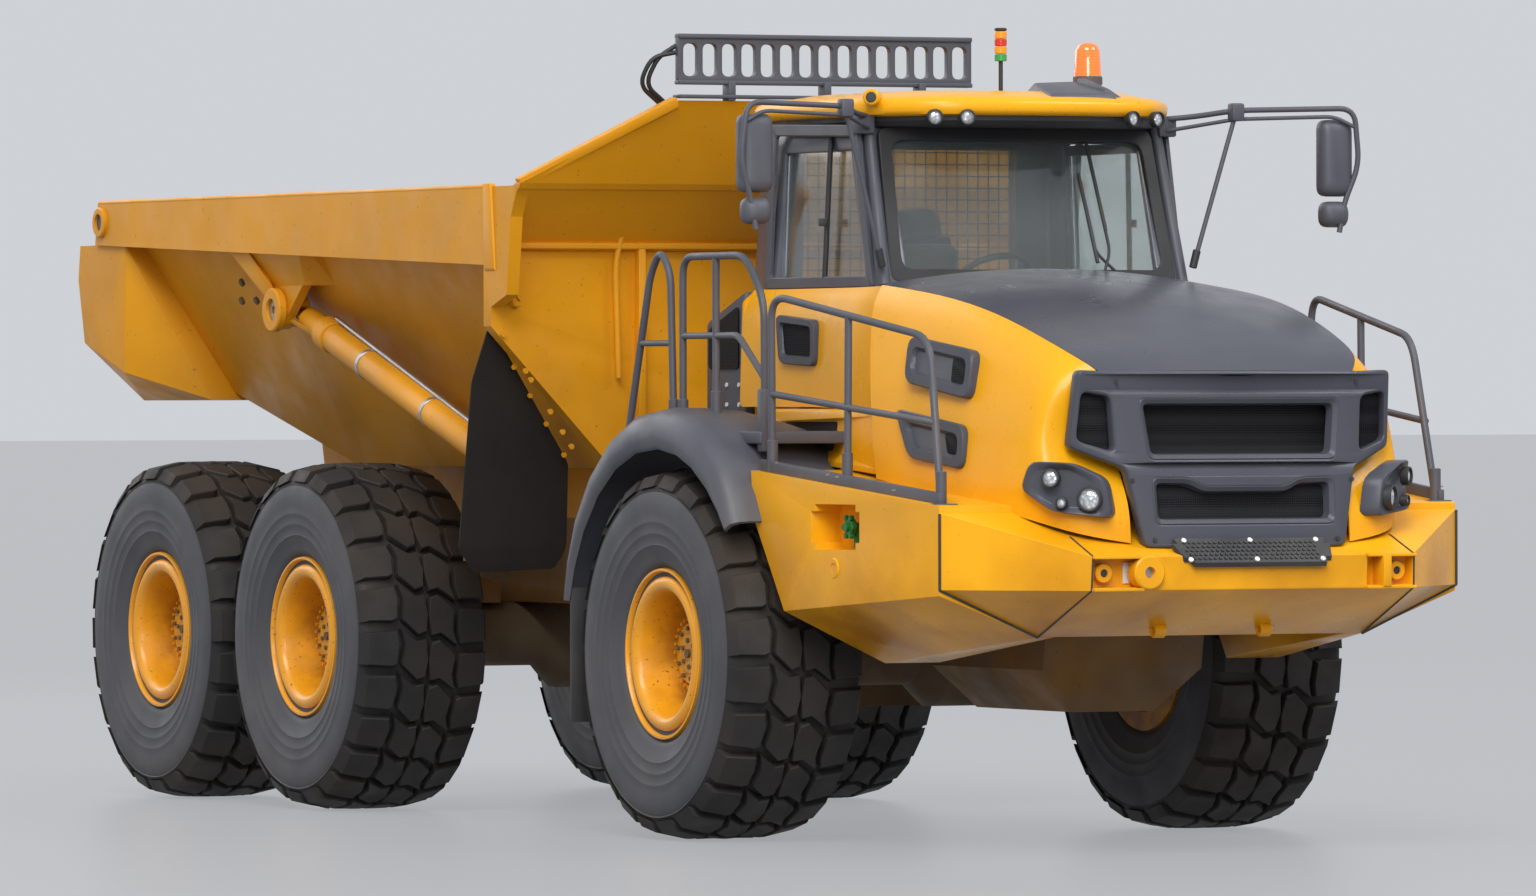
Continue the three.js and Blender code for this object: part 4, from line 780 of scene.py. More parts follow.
def bent_tube(name, points, radius, finish, bend=0.09, sides=12):
    """A tube through the places, its corners turned at the bend radius, closed at both ends."""
    route = [points[0]]
    for before, corner, after in zip(points, points[1:], points[2:]):
        first, second = (before - corner).normalized(), (after - corner).normalized()
        cut = min(bend, (before - corner).length * 0.45, (after - corner).length * 0.45)
        start, stop = corner + first * cut, corner + second * cut
        for i in range(7):
            t = i / 6
            route.append(start * (1 - t) ** 2 + corner * 2 * t * (1 - t) + stop * t ** 2)
    route.append(points[-1])
    sections = []
    normal = None
    for i, place in enumerate(route):
        ahead = route[min(i + 1, len(route) - 1)] - route[max(i - 1, 0)]
        ahead.normalize()
        if normal is None:
            normal = ahead.orthogonal().normalized()
        normal = (normal - ahead * normal.dot(ahead)).normalized()
        other = ahead.cross(normal)
        sections.append([place + radius * (math.cos(a) * normal + math.sin(a) * other)
                         for a in (2 * math.pi * j / sides for j in range(sides))])
    return as_mesh(name, lofted(sections), finish, 50)


def rail(points, thinner=1.0, bend=0.09):
    return bent_tube("rail", points, RAIL_RADIUS * thinner, graphite, bend)


def sleeve(foot, height=0.16):
    return round_bar("sleeve", foot, foot + UP * height, RAIL_RADIUS + 0.008, graphite, 16, 0.004)


DECK_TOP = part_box("deck_right")[1].z
for side, label in ((-1, "right"), (1, "left")):
    put = on_side(side)
    box_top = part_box(f"side_box_{label}")[1].z
    foot_rail = [(x, y, box_top + z) for inner, outer in ((1.36, 1.50), (1.39, 1.53))
                 for x, y, z in ((inner, -2.44, -0.165), (inner, -2.44, -0.10), (outer, -0.80, -0.015),
                                 (outer, -0.80, 0.055))]
    assembled(f"box_rail_{label}_tubes", [
        rail([put(1.50, -0.875, box_top - 0.02), put(1.517, -0.900, 2.70), put(1.329, -2.226, 2.485),
              put(1.362, -2.405, 1.69)], bend=0.13),
        rail([put(1.508, -0.885, 2.215), put(1.349, -2.33, 2.075)], 0.9),
        rail([put(1.432, -1.555, box_top - 0.08), put(1.425, -1.555, 2.59)]),
        sleeve(put(1.50, -0.877, box_top - 0.01)), sleeve(put(1.432, -1.555, box_top - 0.07)),
        sleeve(put(1.360, -2.403, box_top - 0.155)), block("foot_rail", graphite, 0.004, foot_rail, side),
        bar_box("foot_plate", (side * 1.30, -2.46, box_top - 0.170), (side * 1.42, -2.36, box_top - 0.150),
                graphite, 0.003),
        bolts([(put(1.51, y, box_top + 0.05 - 0.1 * (-0.8 - y)), UP) for y in (-0.95, -1.5, -1.6, -2.2)],
              0.011, 0.008, steel)], "front_unit", [f"box_rail_{label}"])


    def deck(y, z):
        return at(side * 1.46, y, z)


    if side > 0:
        hoop = [deck(0.30, DECK_TOP), deck(0.33, 2.80), deck(0.42, 2.93), deck(0.56, 2.86), deck(0.66, 2.10),
                deck(0.66, DECK_TOP)]
    else:
        hoop = [deck(0.31, DECK_TOP), deck(0.345, 2.82), deck(0.46, 2.94), deck(0.575, 2.82),
                deck(0.93, 1.72)]
    deck_rail = [rail(hoop, bend=0.10),
                 rail([deck(0.335, 2.47), deck(0.685 if side < 0 else 0.61, 2.47)], 0.85),
                 sleeve(deck(0.31, DECK_TOP))]
    if side < 0:
        deck_rail += [
            rail([deck(0.205, DECK_TOP), deck(0.205, 2.90), deck(-0.50, 2.90), deck(-0.705, 2.68),
                  deck(-0.715, 1.94)], bend=0.11),
            rail([deck(-0.17, DECK_TOP), deck(-0.17, 2.89)]),
            rail([deck(0.20, 2.505), deck(-0.42, 2.505), deck(-0.70, 2.30)], 0.9, 0.05),
            sleeve(deck(0.205, DECK_TOP)), sleeve(deck(-0.17, DECK_TOP), 0.2),
            bar_box("grab_block", (-1.49, -0.75, 1.93), (-1.43, -0.68, 2.24), graphite, 0.012)]
    assembled(f"deck_rail_{label}_tubes", deck_rail, "front_unit", [f"deck_rail_{label}"])

# ---- panel gaps ----
# The dark joints between the bumper's nose, its wings and the side boxes.
# Each is a thin black line that follows the edge of the sheet.
gaps = []
for side in (-1, 1):
    put = on_side(side)
    gaps += [bent_tube("wing_seam",
                       [put(0.874, -2.80, 1.530), put(0.876, -3.034, 1.440), put(0.879, -3.025, 1.277),
                                     put(0.891, -2.50, 1.046)], 0.005, black_plastic, 0.004, 6),
             bent_tube("box_gap", [put(1.420, -2.502, 1.642), put(1.420, -2.502, 1.278),
                                   put(0.892, -2.499, 1.046)],
                       0.007, black_plastic, 0.004, 6)]
assembled("panel_gaps", gaps, "front_unit")

# ---- hood ----
# A moulded hood that tilts forwards: yellow sides that wrap round the front corners, and a graphite top
# panel let in between them. Both are thin skins over a grid of places.
HOOD_RIBS = [
    [(1.13, -1.27, 1.80), (1.12, -1.20, 2.00), (1.07, -1.10, 2.25), (1.02, -1.00, 2.50), (0.98, -0.95, 2.68),
     (0.92, -0.93, 2.75)],
    [(1.12, -1.50, 1.77), (1.10, -1.50, 1.95), (1.05, -1.50, 2.20), (1.00, -1.50, 2.44), (0.95, -1.50, 2.62),
     (0.89, -1.50, 2.70)],
    [(1.09, -2.00, 1.70), (1.08, -2.00, 1.88), (1.03, -2.00, 2.12), (0.98, -2.00, 2.36), (0.92, -2.00, 2.53),
     (0.85, -2.00, 2.61)],
    [(1.05, -2.45, 1.65), (1.05, -2.45, 1.82), (1.01, -2.45, 2.02), (0.96, -2.45, 2.23), (0.90, -2.45, 2.38),
     (0.81, -2.45, 2.47)],
    [(0.98, -2.68, 1.60), (1.01, -2.68, 1.78), (0.99, -2.68, 1.97), (0.95, -2.68, 2.15), (0.89, -2.68, 2.28),
     (0.77, -2.68, 2.385)],
    [(0.85, -2.86, 1.54), (0.93, -2.83, 1.75), (0.935, -2.655, 1.94), (0.910, -2.665, 2.10),
     (0.885, -2.69, 2.23), (0.69, -2.76, 2.315)],
    [(0.60, -2.90, 1.50), (0.60, -2.89, 1.70), (0.60, -2.73, 1.90), (0.60, -2.74, 2.04), (0.60, -2.76, 2.19),
     (0.60, -2.77, 2.300)]]
HOOD_WALL = 0.008
HOOD_CROWN = (0.085, 0.065, 0.070, 0.045, 0.028, 0.006)


def skinned(name, grid, wall, finish, inside):
    """A thin closed shell over a grid of places, rounded by subdivision, its wall on the inner side."""
    shape = bmesh.new()
    rows = [[shape.verts.new(place) for place in row] for row in grid]
    for here, there in zip(rows, rows[1:]):
        for j in range(len(here) - 1):
            shape.faces.new((here[j], here[j + 1], there[j + 1], there[j]))
    shape.normal_update()
    if sum(f.normal.dot(f.calc_center_median() - inside) for f in shape.faces) < 0:
        bmesh.ops.reverse_faces(shape, faces=shape.faces)
    mesh = bpy.data.meshes.new(name)
    shape.to_mesh(mesh)
    shape.free()
    work = added("work", mesh)
    rounder = work.modifiers.new("round", "SUBSURF")
    rounder.levels = rounder.render_levels = 2
    rounder.boundary_smooth = "PRESERVE_CORNERS"
    walls = work.modifiers.new("wall", "SOLIDIFY")
    walls.thickness = wall
    walls.offset = -1
    result = smoothed(settled(work), 50)
    result.materials.clear()
    result.materials.append(finish)
    return result


hood_middle = at(0, -1.8, 2.0)
hood_skins = [skinned("hood_side", [[at(side * x, y, z) for x, y, z in rib] for rib in HOOD_RIBS], HOOD_WALL,
                      panel_yellow, hood_middle) for side in (-1, 1)]
assembled("hood_sides", hood_skins, "hood", ["hood"])
top_grid = []
for rib, crown_height in zip(HOOD_RIBS[:6], HOOD_CROWN):
    x, y, z = rib[-1]
    bow = 0.06 if y < -2.75 else 0
    top_grid.append([at(share * x, y - bow * (1 - share * share),
                        z + crown_height * (1 - share * share) + 0.003)
                     for share in (-1, -0.75, -0.4, 0, 0.4, 0.75, 1)])
assembled("hood_top", [skinned("hood_top", top_grid, HOOD_WALL, hood_graphite, hood_middle)], "hood")


# ---- hood inlets ----
# Graphite plastic frames let into the yellow panels. The rear half of each is closed by a plain plate, the
# front half by a dark perforated screen.
def inset(corners, width, facing):
    """The corners moved inwards by the width."""
    moved = []
    for i, corner in enumerate(corners):
        to_last = (corners[i - 1] - corner).normalized()
        to_next = (corners[(i + 1) % len(corners)] - corner).normalized()
        turn = to_next.cross(to_last)
        inward = 1 if turn.dot(facing) > 0 else -1
        moved.append(corner + (to_last + to_next) * (inward * width / max(turn.length, 0.05)))
    return moved


def rounded(corners, radius, steps=4):
    """The outline with its corners turned."""
    route = []
    for i, corner in enumerate(corners):
        to_last, to_next = corners[i - 1] - corner, corners[(i + 1) % len(corners)] - corner
        cut = min(radius, to_last.length * 0.45, to_next.length * 0.45)
        start, stop = corner + to_last.normalized() * cut, corner + to_next.normalized() * cut
        for k in range(steps + 1):
            t = k / steps
            route.append(start * (1 - t) ** 2 + corner * 2 * t * (1 - t) + stop * t ** 2)
    return route


def moulding(name, corners, facing, profile, finish, ring=False, angle=35):
    """A plate or frame on an outline; each step of its profile is an inset, a height and a corner radius."""
    facing = Vector(facing).normalized()
    area = sum((a.cross(b) for a, b in zip(corners, corners[1:] + corners[:1])), Vector())
    if area.dot(facing) < 0:
        corners = corners[::-1]
    rows = [[place + facing * height for place in rounded(inset(corners, width, facing), max(radius, 0.002))]
            for width, height, radius in profile]
    shape = lofted(rows + rows[:1] if ring else rows, caps=not ring)
    if ring:
        bmesh.ops.remove_doubles(shape, verts=shape.verts, dist=WELD)
        bmesh.ops.recalc_face_normals(shape, faces=shape.faces)
    return as_mesh(name, shape, finish, angle)


mesh_screen = Finish("screen_black")
cells = mesh_screen.add("ShaderNodeTexVoronoi", {"Scale": 85, "Randomness": 0.0,
                                                 "Vector": mesh_screen.place})["Distance"]
screen_black = mesh_screen.done({
    "Base Color": mesh_screen.tinted(cells, 0.30, 0.42, (0.001, 0.001, 0.001), (0.020, 0.020, 0.022)),
    "Roughness": 0.7, "Specular IOR Level": 0.15, "Normal": mesh_screen.relief(cells, 0.003)})
INLET_FRAME = [(0.0, -0.045, 0.07), (0.0, 0.020, 0.07), (0.007, 0.028, 0.065), (0.048, 0.028, 0.05),
               (0.064, 0.010, 0.04), (0.070, -0.045, 0.035)]
SCREEN_START = 0.58
inlets = []
for side in (-1, 1):
    facing = Vector((side, -0.05, 0.18))
    for corners in (((1.015, -1.44, 2.497), (0.975, -2.045, 2.422), (1.020, -2.075, 2.181),
                     (1.060, -1.47, 2.268)),
                    ((1.075, -1.40, 2.142), (1.045, -2.075, 2.060), (1.065, -2.10, 1.844),
                     (1.105, -1.60, 1.899))):
        back, front, low_front, low_back = spots = [at(side * x, y, z) for x, y, z in corners]
        screen = [back * (1 - SCREEN_START) + front * SCREEN_START, front, low_front,
                  low_back * (1 - SCREEN_START) + low_front * SCREEN_START]
        inlets += [
            moulding("inlet_frame", spots, facing, INLET_FRAME, hood_graphite, True),
            moulding("inlet_plate", spots, facing, [(0.055, -0.020, 0.04), (0.055, 0.008, 0.04)], graphite),
            moulding("inlet_screen", screen, facing, [(0.060, -0.010, 0.02), (0.060, 0.013, 0.02),
                                                      (0.066, 0.016, 0.02)], screen_black)]
assembled("hood_inlets", inlets, "hood")


# ---- grille ----
# One moulded graphite frame with two ears, bent back at the sides, over black perforated screens.
# Each opening has a raised lip, and round clips hold the frame to the hood.
def grille_face(x, z):
    """How far forward the grille's face lies."""
    up = (z - 1.488) / 0.82
    ear = max(0.0, (abs(x) - 0.60) / 0.27) * (0.11 - 0.09 * max(0.0, min(1.0, (z - 1.95) / 0.37)))
    return -2.945 + 0.08 * up + ear + 0.035 * min(1.0, (x / 0.62) ** 2)


def pierced(name, outline, holes, depth, edge, finish, place, angle=30):
    """A plate with holes, its edges rounded, laid out flat and then put on its own surface."""
    flat = bpy.data.curves.new(name, "CURVE")
    flat.dimensions = "2D"
    flat.fill_mode = "BOTH"
    flat.extrude = depth / 2 - edge
    flat.bevel_depth = edge
    flat.bevel_resolution = 2
    flat.offset = -edge
    for loop, turn in [(outline, 0.03)] + [(hole, 0.035) for hole in holes]:
        route = rounded([Vector((u, v, 0)) for u, v in loop], turn)
        spline = flat.splines.new("POLY")
        spline.points.add(len(route) - 1)
        for point, spot in zip(spline.points, route):
            point.co = (spot.x, spot.y, 0, 1)
        spline.use_cyclic_u = True
    shape = bmesh.new()
    shape.from_mesh(settled(added("work", flat)))
    bmesh.ops.remove_doubles(shape, verts=shape.verts, dist=WELD)
    for v in shape.verts:
        v.co = place(v.co.x, v.co.y, v.co.z)
    bmesh.ops.recalc_face_normals(shape, faces=shape.faces)
    return as_mesh(name, shape, finish, angle)


def both(points):
    """An outline from its half, the points off the middle mirrored."""
    return points + [(-x, z) for x, z in reversed(points) if x]


GRILLE_OUTLINE = both([(0, 2.322), (0.678, 2.320), (0.852, 2.327), (0.872, 1.957), (0.625, 1.855),
                       (0.545, 1.480), (0, 1.468)])
upper_hole = both([(0.545, 2.185), (0.507, 1.900)])
lower_hole = [(0.494, 1.808), (0.487, 1.590), (-0.487, 1.590), (-0.494, 1.808), (-0.30, 1.803),
              (-0.22, 1.765), (0.22, 1.765), (0.30, 1.803)]
ear_holes = [[(s * x, z) for x, z in ((0.684, 2.200), (0.828, 2.223), (0.841, 1.989), (0.668, 1.935))]
             for s in (-1, 1)]
SCREEN_DEEP = 0.028
LIP = [(-0.006, 0.030, 0.035), (0.0, 0.037, 0.035), (0.020, 0.020, 0.03), (0.028, -0.03, 0.03),
       (-0.004, -0.03, 0.03)]
grille_parts = [
    pierced("grille_frame", GRILLE_OUTLINE, [upper_hole, lower_hole] + ear_holes, 0.07, 0.014, hood_graphite,
            lambda u, v, w: at(u, grille_face(u, v) - w, v)),
    pierced("grille_screen", [(x * 0.97, 1.9 + (z - 1.9) * 0.95) for x, z in GRILLE_OUTLINE], [], 0.02, 0.004,
            screen_black, lambda u, v, w: at(u, grille_face(u, v) + SCREEN_DEEP - w, v))]
for hole in (upper_hole, lower_hole):
    grille_parts.append(moulding("grille_lip", [at(x, grille_face(x, z), z) for x, z in hole], (0, -1, 0.05),
                                 LIP, hood_graphite, True))
clips = bolts([(at(s * x, grille_face(x, z) - 0.035, z), (0, -1, 0.05)) for s in (-1, 1)
               for x, z in ((0.50, 1.515), (0.22, 1.505), (0.655, 2.27), (0.60, 1.80))], 0.011, 0.005,
              black_plastic, 12)
assembled("grille_moulding", grille_parts + [clips], "hood", ["grille"])

# ---- headlights ----
# A graphite bezel let into each front corner of the hood, with three round lamps behind clear lenses.
# Each lamp is a black ring round a faceted, silvered glass.
faceted = Finish("lamp_glass")
# The facets are painted white at their centres and grey at their edges, and the glass gets a faint white
# glow: painted glints and a painted glow.
facets = faceted.add("ShaderNodeTexVoronoi", {"Scale": 60, "Vector": faceted.place})["Distance"]
lamp_glass = faceted.done({
    "Base Color": faceted.tinted(facets, 0.1, 0.6, (0.95, 0.96, 1.0), (0.35, 0.38, 0.42)),
    "Metallic": 0.55, "Roughness": 0.12, "Coat Weight": 1.0, "Emission Color": (1, 1, 1),
    "Emission Strength": 0.12, "Normal": faceted.relief(facets, 0.004)})


def domed(name, profile, sides, place, along, finish, angle):
    """A turned lens or dome with a closed tip, pointing along a direction."""
    shape = ring_body(profile, sides)
    pointed(shape, place, along)
    bmesh.ops.remove_doubles(shape, verts=shape.verts, dist=WELD)
    bmesh.ops.recalc_face_normals(shape, faces=shape.faces)
    return as_mesh(name, shape, finish, angle)


def round_lamp(centre, facing, radius):
    """A lamp: a black bezel ring, and a faceted, slightly domed lens inside it."""
    facing = Vector(facing).normalized()
    lens = [(0, 0), (0, radius * 0.86), (0.012, radius * 0.86), (0.020, radius * 0.6), (0.024, radius * 0.3),
            (0.025, 0)]
    return [round_bar("lamp_ring", centre - facing * 0.03, centre + facing * 0.012, radius, black_plastic, 32,
                      0.004, radius * 0.84),
            domed("lamp_lens", lens, 28, centre - facing * 0.018, facing, lamp_glass, 60)]


BEZEL = [(0.0, -0.05, 0.05), (0.0, 0.034, 0.05), (0.006, 0.044, 0.05), (0.020, 0.046, 0.045),
         (0.036, 0.040, 0.035), (0.050, 0.039, 0.03)]
headlights = []
for side in (-1, 1):
    facing = Vector((side * 0.68, -0.73, 0))
    corners = [at(side * x, y, z) for x, y, z in (
        (1.015, -2.67, 1.892), (0.885, -2.835, 1.885), (0.729, -2.900, 1.808), (0.695, -2.912, 1.616),
        (0.955, -2.790, 1.652), (1.022, -2.59, 1.757))]
    headlights.append(moulding("headlight_bezel", corners, facing, BEZEL, hood_graphite))
    for x, y, z, radius, out in ((0.948, -2.762, 1.812, 0.046, 0.048), (0.795, -2.872, 1.712, 0.060, 0.048),
                                 (0.915, -2.810, 1.694, 0.028, 0.045)):
        headlights += round_lamp(at(side * x, y, z) + facing * out, facing, radius)
assembled("headlights", headlights, "hood")

# ---- cab ----
# A welded steel cab: graphite pillars and window frames over yellow lower panels, glass set in from outside.
# The windscreen has two wipers, and a guard of wire stands behind the rear glass.
cab_paint = Finish("two_tone")
above_sill = cab_paint.ramp(cab_paint.axis("Z"), 2.735, 2.737)
dust = cab_paint.ramp(cab_paint.noise(5, 5), 0.45, 0.75)
bright = cab_paint.mixed(dust, YELLOW, (YELLOW[0] * 0.8, YELLOW[1] * 0.72, YELLOW[2]))
dull = cab_paint.mixed(dust, GRAPHITE, tuple(1.35 * channel for channel in GRAPHITE))
two_tone = cab_paint.done({
    "Base Color": cab_paint.mixed(above_sill, bright, dull), "Roughness": 0.32, "Coat Weight": 0.35,
    "Normal": cab_paint.relief(cab_paint.noise(320, 2), 0.002, 0.15)})
pane = Finish("pane_glass")
pane_glass = pane.done({
    "Base Color": pane.tinted(pane.noise(2.5, 4), 0.3, 0.8, (0.80, 0.86, 0.86), (0.62, 0.68, 0.67)),
    "Transmission Weight": 0.94, "IOR": 1.45,
    "Roughness": pane.ramp(pane.noise(6, 4), 0.45, 0.8, 0.02, 0.12)})
dressed("cab_shell", "front_unit", two_tone, 0.012)
dressed("cab_door", "cab_door", two_tone, 0.006)
for node, body in (("windscreen", "front_unit"), ("side_glass", "front_unit"), ("rear_glass", "front_unit"),
                   ("door_glass", "cab_door")):
    dressed(node, body, pane_glass, 0)

GLAZING = [(0.0, -0.004, 0.02), (0.0, 0.012, 0.02), (0.005, 0.017, 0.02), (0.052, 0.017, 0.02),
           (0.058, 0.012, 0.02), (0.058, -0.004, 0.02)]
for side, label, body, low in ((-1, "right", "front_unit", 2.74), (1, "left", "cab_door", 2.76)):
    put = on_side(side)
    window = [put(0.862, y, z) for y, z in ((0.385, 3.568), (0.47, low), (-0.735, low), (-0.565, 3.545))]
    assembled(f"window_trim_{label}", [
        moulding("window_frame", window, (side, 0, 0.06), GLAZING, graphite, True),
        bent_tube("divider", [put(0.866, -0.190, low + 0.05), put(0.842, -0.215, 3.50)], 0.014,
                  black_plastic),
        bar_box("latch", (side * 0.868, -0.235, 3.05), (side * 0.885, -0.155, 3.09), black_plastic)],
              body)

SCREEN_FRAME = [(0.0, -0.02, 0.05), (0.0, 0.004, 0.05), (0.004, 0.008, 0.05), (0.062, 0.008, 0.07),
                (0.066, 0.004, 0.07), (0.066, -0.02, 0.07)]
front_trim = [moulding("windscreen_frame", [at(*corner) for corner in (
    (-0.80, -0.788, 2.765), (0.80, -0.788, 2.765), (0.765, -0.575, 3.535), (-0.765, -0.575, 3.535))],
                       (0, -1, 0.28), SCREEN_FRAME, black_plastic, True)]
for side in (-1, 1):
    front_trim.append(bent_tube("pillar_cap",
                                [at(side * 0.838, -0.792, 2.75), at(side * 0.805, -0.555, 3.55)], 0.030,
                                graphite))
for foot_x, tip, elbow in ((0.36, at(0.40, -0.63, 3.36), at(0.42, -0.80, 2.92)),
                           (0.47, at(0.33, -0.68, 3.20), at(0.34, -0.79, 2.92))):
    blade = (tip - elbow).normalized()
    ahead = tip + Vector((0, -0.004, 0))
    front_trim += [
        bent_tube("wiper_arm", [at(foot_x, -0.835, 2.79), elbow, tip], 0.008, black_plastic, 0.05, 8),
        bent_tube("wiper_blade", [ahead - blade * 0.36, ahead + blade * 0.12], 0.010, black_plastic, 0.05, 8),
        round_bar("wiper_hub", at(foot_x, -0.80, 2.785), at(foot_x, -0.855, 2.795), 0.022, black_plastic, 16,
                  0.004)]
assembled("windscreen_trim", front_trim, "front_unit")

WIRE_GAP = 0.06
guard_corners = [at(x, 0.634, z) for x, z in ((-0.64, 2.74), (0.64, 2.74), (0.64, 3.49), (-0.64, 3.49))]
wire_runs = [(at(x, 0.632, 2.76), at(x, 0.632, 3.47)) for x in (-0.60 + WIRE_GAP * i for i in range(21))]
wire_runs += [(at(-0.62, 0.636, z), at(0.62, 0.636, z)) for z in (2.78 + WIRE_GAP * i for i in range(12))]
wires = [bent_tube("wire", run, 0.0032, black_plastic, 0.01, 6) for run in wire_runs]
wire_frame = moulding("wire_frame", guard_corners, (0, 1, 0), [
    (0, -0.014, 0.05), (0, 0.014, 0.05), (0.03, 0.014, 0.03), (0.03, -0.014, 0.03)], black_plastic, True)
assembled("rear_window_guard", wires + [wire_frame], "front_unit")

# ---- cab side panels ----
# Yellow cowl panels from the cab to the hood's rear seam, with an inlet, and a skirt under the right one.
# They are folded sheet. The graphite housing of the filters is bolted up behind the cab.
SEAM = [(1.095, -1.150, 2.13), (1.070, -1.092, 2.25), (1.020, -0.992, 2.50), (0.980, -0.942, 2.68),
        (0.920, -0.922, 2.745)]
COWL = [(0.985, 2.13), (0.982, 2.25), (0.968, 2.50), (0.948, 2.68), (0.892, 2.742)]
FLAT = [(0.957, 2.15), (0.957, 2.25), (0.952, 2.50), (0.938, 2.68), (0.880, 2.740)]
for side, label, ends in ((-1, "right", (-0.74, -0.40, 0.0, 0.30, 0.565)), (1, "left", (-0.745,))):
    grid = [[at(side * x, y, z) for x, y, z in SEAM]]
    for i, y in enumerate(ends):
        grid.append([at(side * (x if side < 0 else min(x, 0.90)), y, z)
                     for x, z in (COWL if i == 0 and side < 0 else FLAT)])
    panels = [skinned("cowl", [[row[0]] + row for row in grid], 0.01, panel_yellow, at(0, -0.3, 2.4))]
    if side < 0:
        inlet = [at(-0.955, y, z)
                 for y, z in ((0.138, 2.612), (-0.292, 2.582), (-0.291, 2.350), (0.10, 2.366))]
        rear_edge = [at(x, 0.585, z)
                     for x, z in ((-0.957, 2.15), (-0.94, 2.68), (-0.87, 2.735), (-0.87, 2.15))]
        panels += [
            moulding("rear_edge", rear_edge, (0, 1, 0), [(0, -0.02, 0.02), (0, 0, 0.02)], panel_yellow),
            moulding("panel_inlet", inlet, (-1, 0, 0.03), [
                (0, -0.04, 0.05), (0, 0.020, 0.05), (0.006, 0.028, 0.045), (0.034, 0.028, 0.035),
                (0.046, 0.012, 0.03), (0.052, -0.03, 0.03)], hood_graphite, True),
            moulding("panel_screen", inlet, (-1, 0, 0.03), [(0.04, -0.01, 0.03), (0.04, 0.010, 0.03)],
                     screen_black),
            pierced("skirt", [(0.15, 2.135), (-1.10, 2.135), (-1.20, 1.82), (0.05, 1.90)],
                    [[(0.06, 2.077), (-0.63, 2.077), (-0.60, 1.934), (-0.02, 1.934)]], 0.012, 0.003,
                    panel_yellow,
                    lambda u, v, w: at(-0.99 - w - 0.10 * max(0, -u - 0.5) + 0.1 * (v - 2.13), u, v)),
            pierced("skirt_shadow", [(0.12, 2.12), (-0.80, 2.12), (-0.80, 1.91), (0.03, 1.91)], [], 0.02,
                    0.004, black_plastic, lambda u, v, w: at(-0.93 - w, u, v)),
            bar_box("shelf", (-0.99, -0.74, 2.128), (-0.86, 0.15, 2.140), panel_yellow, 0.003)]
    assembled(f"cowl_{label}", panels, "front_unit", ["side_panel_right"] if side < 0 else [])
louvre = [at(-0.902, y, z) for y, z in ((0.70, 2.66), (1.04, 2.54), (1.04, 2.34), (0.70, 2.34))]
assembled("rear_filter_housing", [
    block("housing", graphite, 0.03, [(x, y, z) for x in (-0.90, -0.50) for y, z in (
        (0.645, 2.10), (0.645, 2.74), (1.10, 2.10), (1.10, 2.58))]),
    moulding("housing_screen", louvre, (-1, 0, 0),
             [(0, -0.004, 0.03), (0, 0.008, 0.03), (0.012, 0.008, 0.03)], screen_black),
    bolts([(at(-0.902, y, z), (-1, 0, 0)) for y in (0.70, 0.84, 0.98) for z in (2.16, 2.26)], 0.012, 0.008,
          white_cap)], "front_unit")

# ---- roof ----
# A moulded yellow roof with a bowed front, a black visor under it with four lamps, and the beacon, mast,
# camera and air scoop on top.
ROOF_PLAN = [(0.88, 0.667), (0.88, -0.60), (0.60, -0.93), (0.22, -1.00), (-0.22, -1.00), (-0.60, -0.93),
             (-0.88, -0.60), (-0.88, 0.667)]
roof_parts = [
    moulding("roof", [at(x, y, 3.585) for x, y in ROOF_PLAN], UP, [
        (0.070, 0.0, 0.10), (0.012, 0.010, 0.14), (0.0, 0.030, 0.15), (0.0, 0.062, 0.15),
        (0.012, 0.082, 0.15), (0.045, 0.098, 0.16), (0.13, 0.112, 0.2), (0.22, 0.130, 0.2),
        (0.36, 0.136, 0.2)], panel_yellow, angle=50),
    moulding("visor", [at(x * 0.93, 0.60 if y > 0 else y * 0.955, 3.535) for x, y in ROOF_PLAN], UP, [
        (0.05, 0.0, 0.1), (0.02, 0.006, 0.1), (0.0, 0.03, 0.1), (0.0, 0.056, 0.1)], black_plastic)]
for side in (-1, 1):
    for x, y in ((0.625, -0.925), (0.465, -0.965)):
        roof_parts += round_lamp(at(side * x, y, 3.578), (side * 0.25, -1, 0), 0.040)
lens = Finish("amber")
ribs = lens.add("ShaderNodeTexWave", {"Scale": 40, "Vector": lens.place}, bands_direction="Z")["Fac"]
# The dome is given a faint amber glow: a painted glow.
amber = lens.done({"Base Color": lens.tinted(ribs, 0.3, 0.8, (1.0, 0.13, 0.01), (1.0, 0.26, 0.03)),
                   "Roughness": 0.12, "Coat Weight": 1.0, "Emission Color": (1.0, 0.16, 0.01),
                   "Emission Strength": 0.25})
mast_lamps = [worn("lamp_" + name, colour, DUST, 0.1, rough=(0.15, 0.3)) for name, colour in (
    ("green", (0.02, 0.35, 0.08)), ("amber", (0.95, 0.35, 0.01)), ("red", (0.65, 0.02, 0.01)))]
beacon_at, mast_at = at(0.616, -0.2, 3.715), at(0.226, 0, 3.70)
MAST_LAMPS_UP, MAST_LAMP_PITCH = 0.19, 0.038


def standing(name, foot, low, high, *size):
    return round_bar(name, foot + UP * low, foot + UP * high, *size)


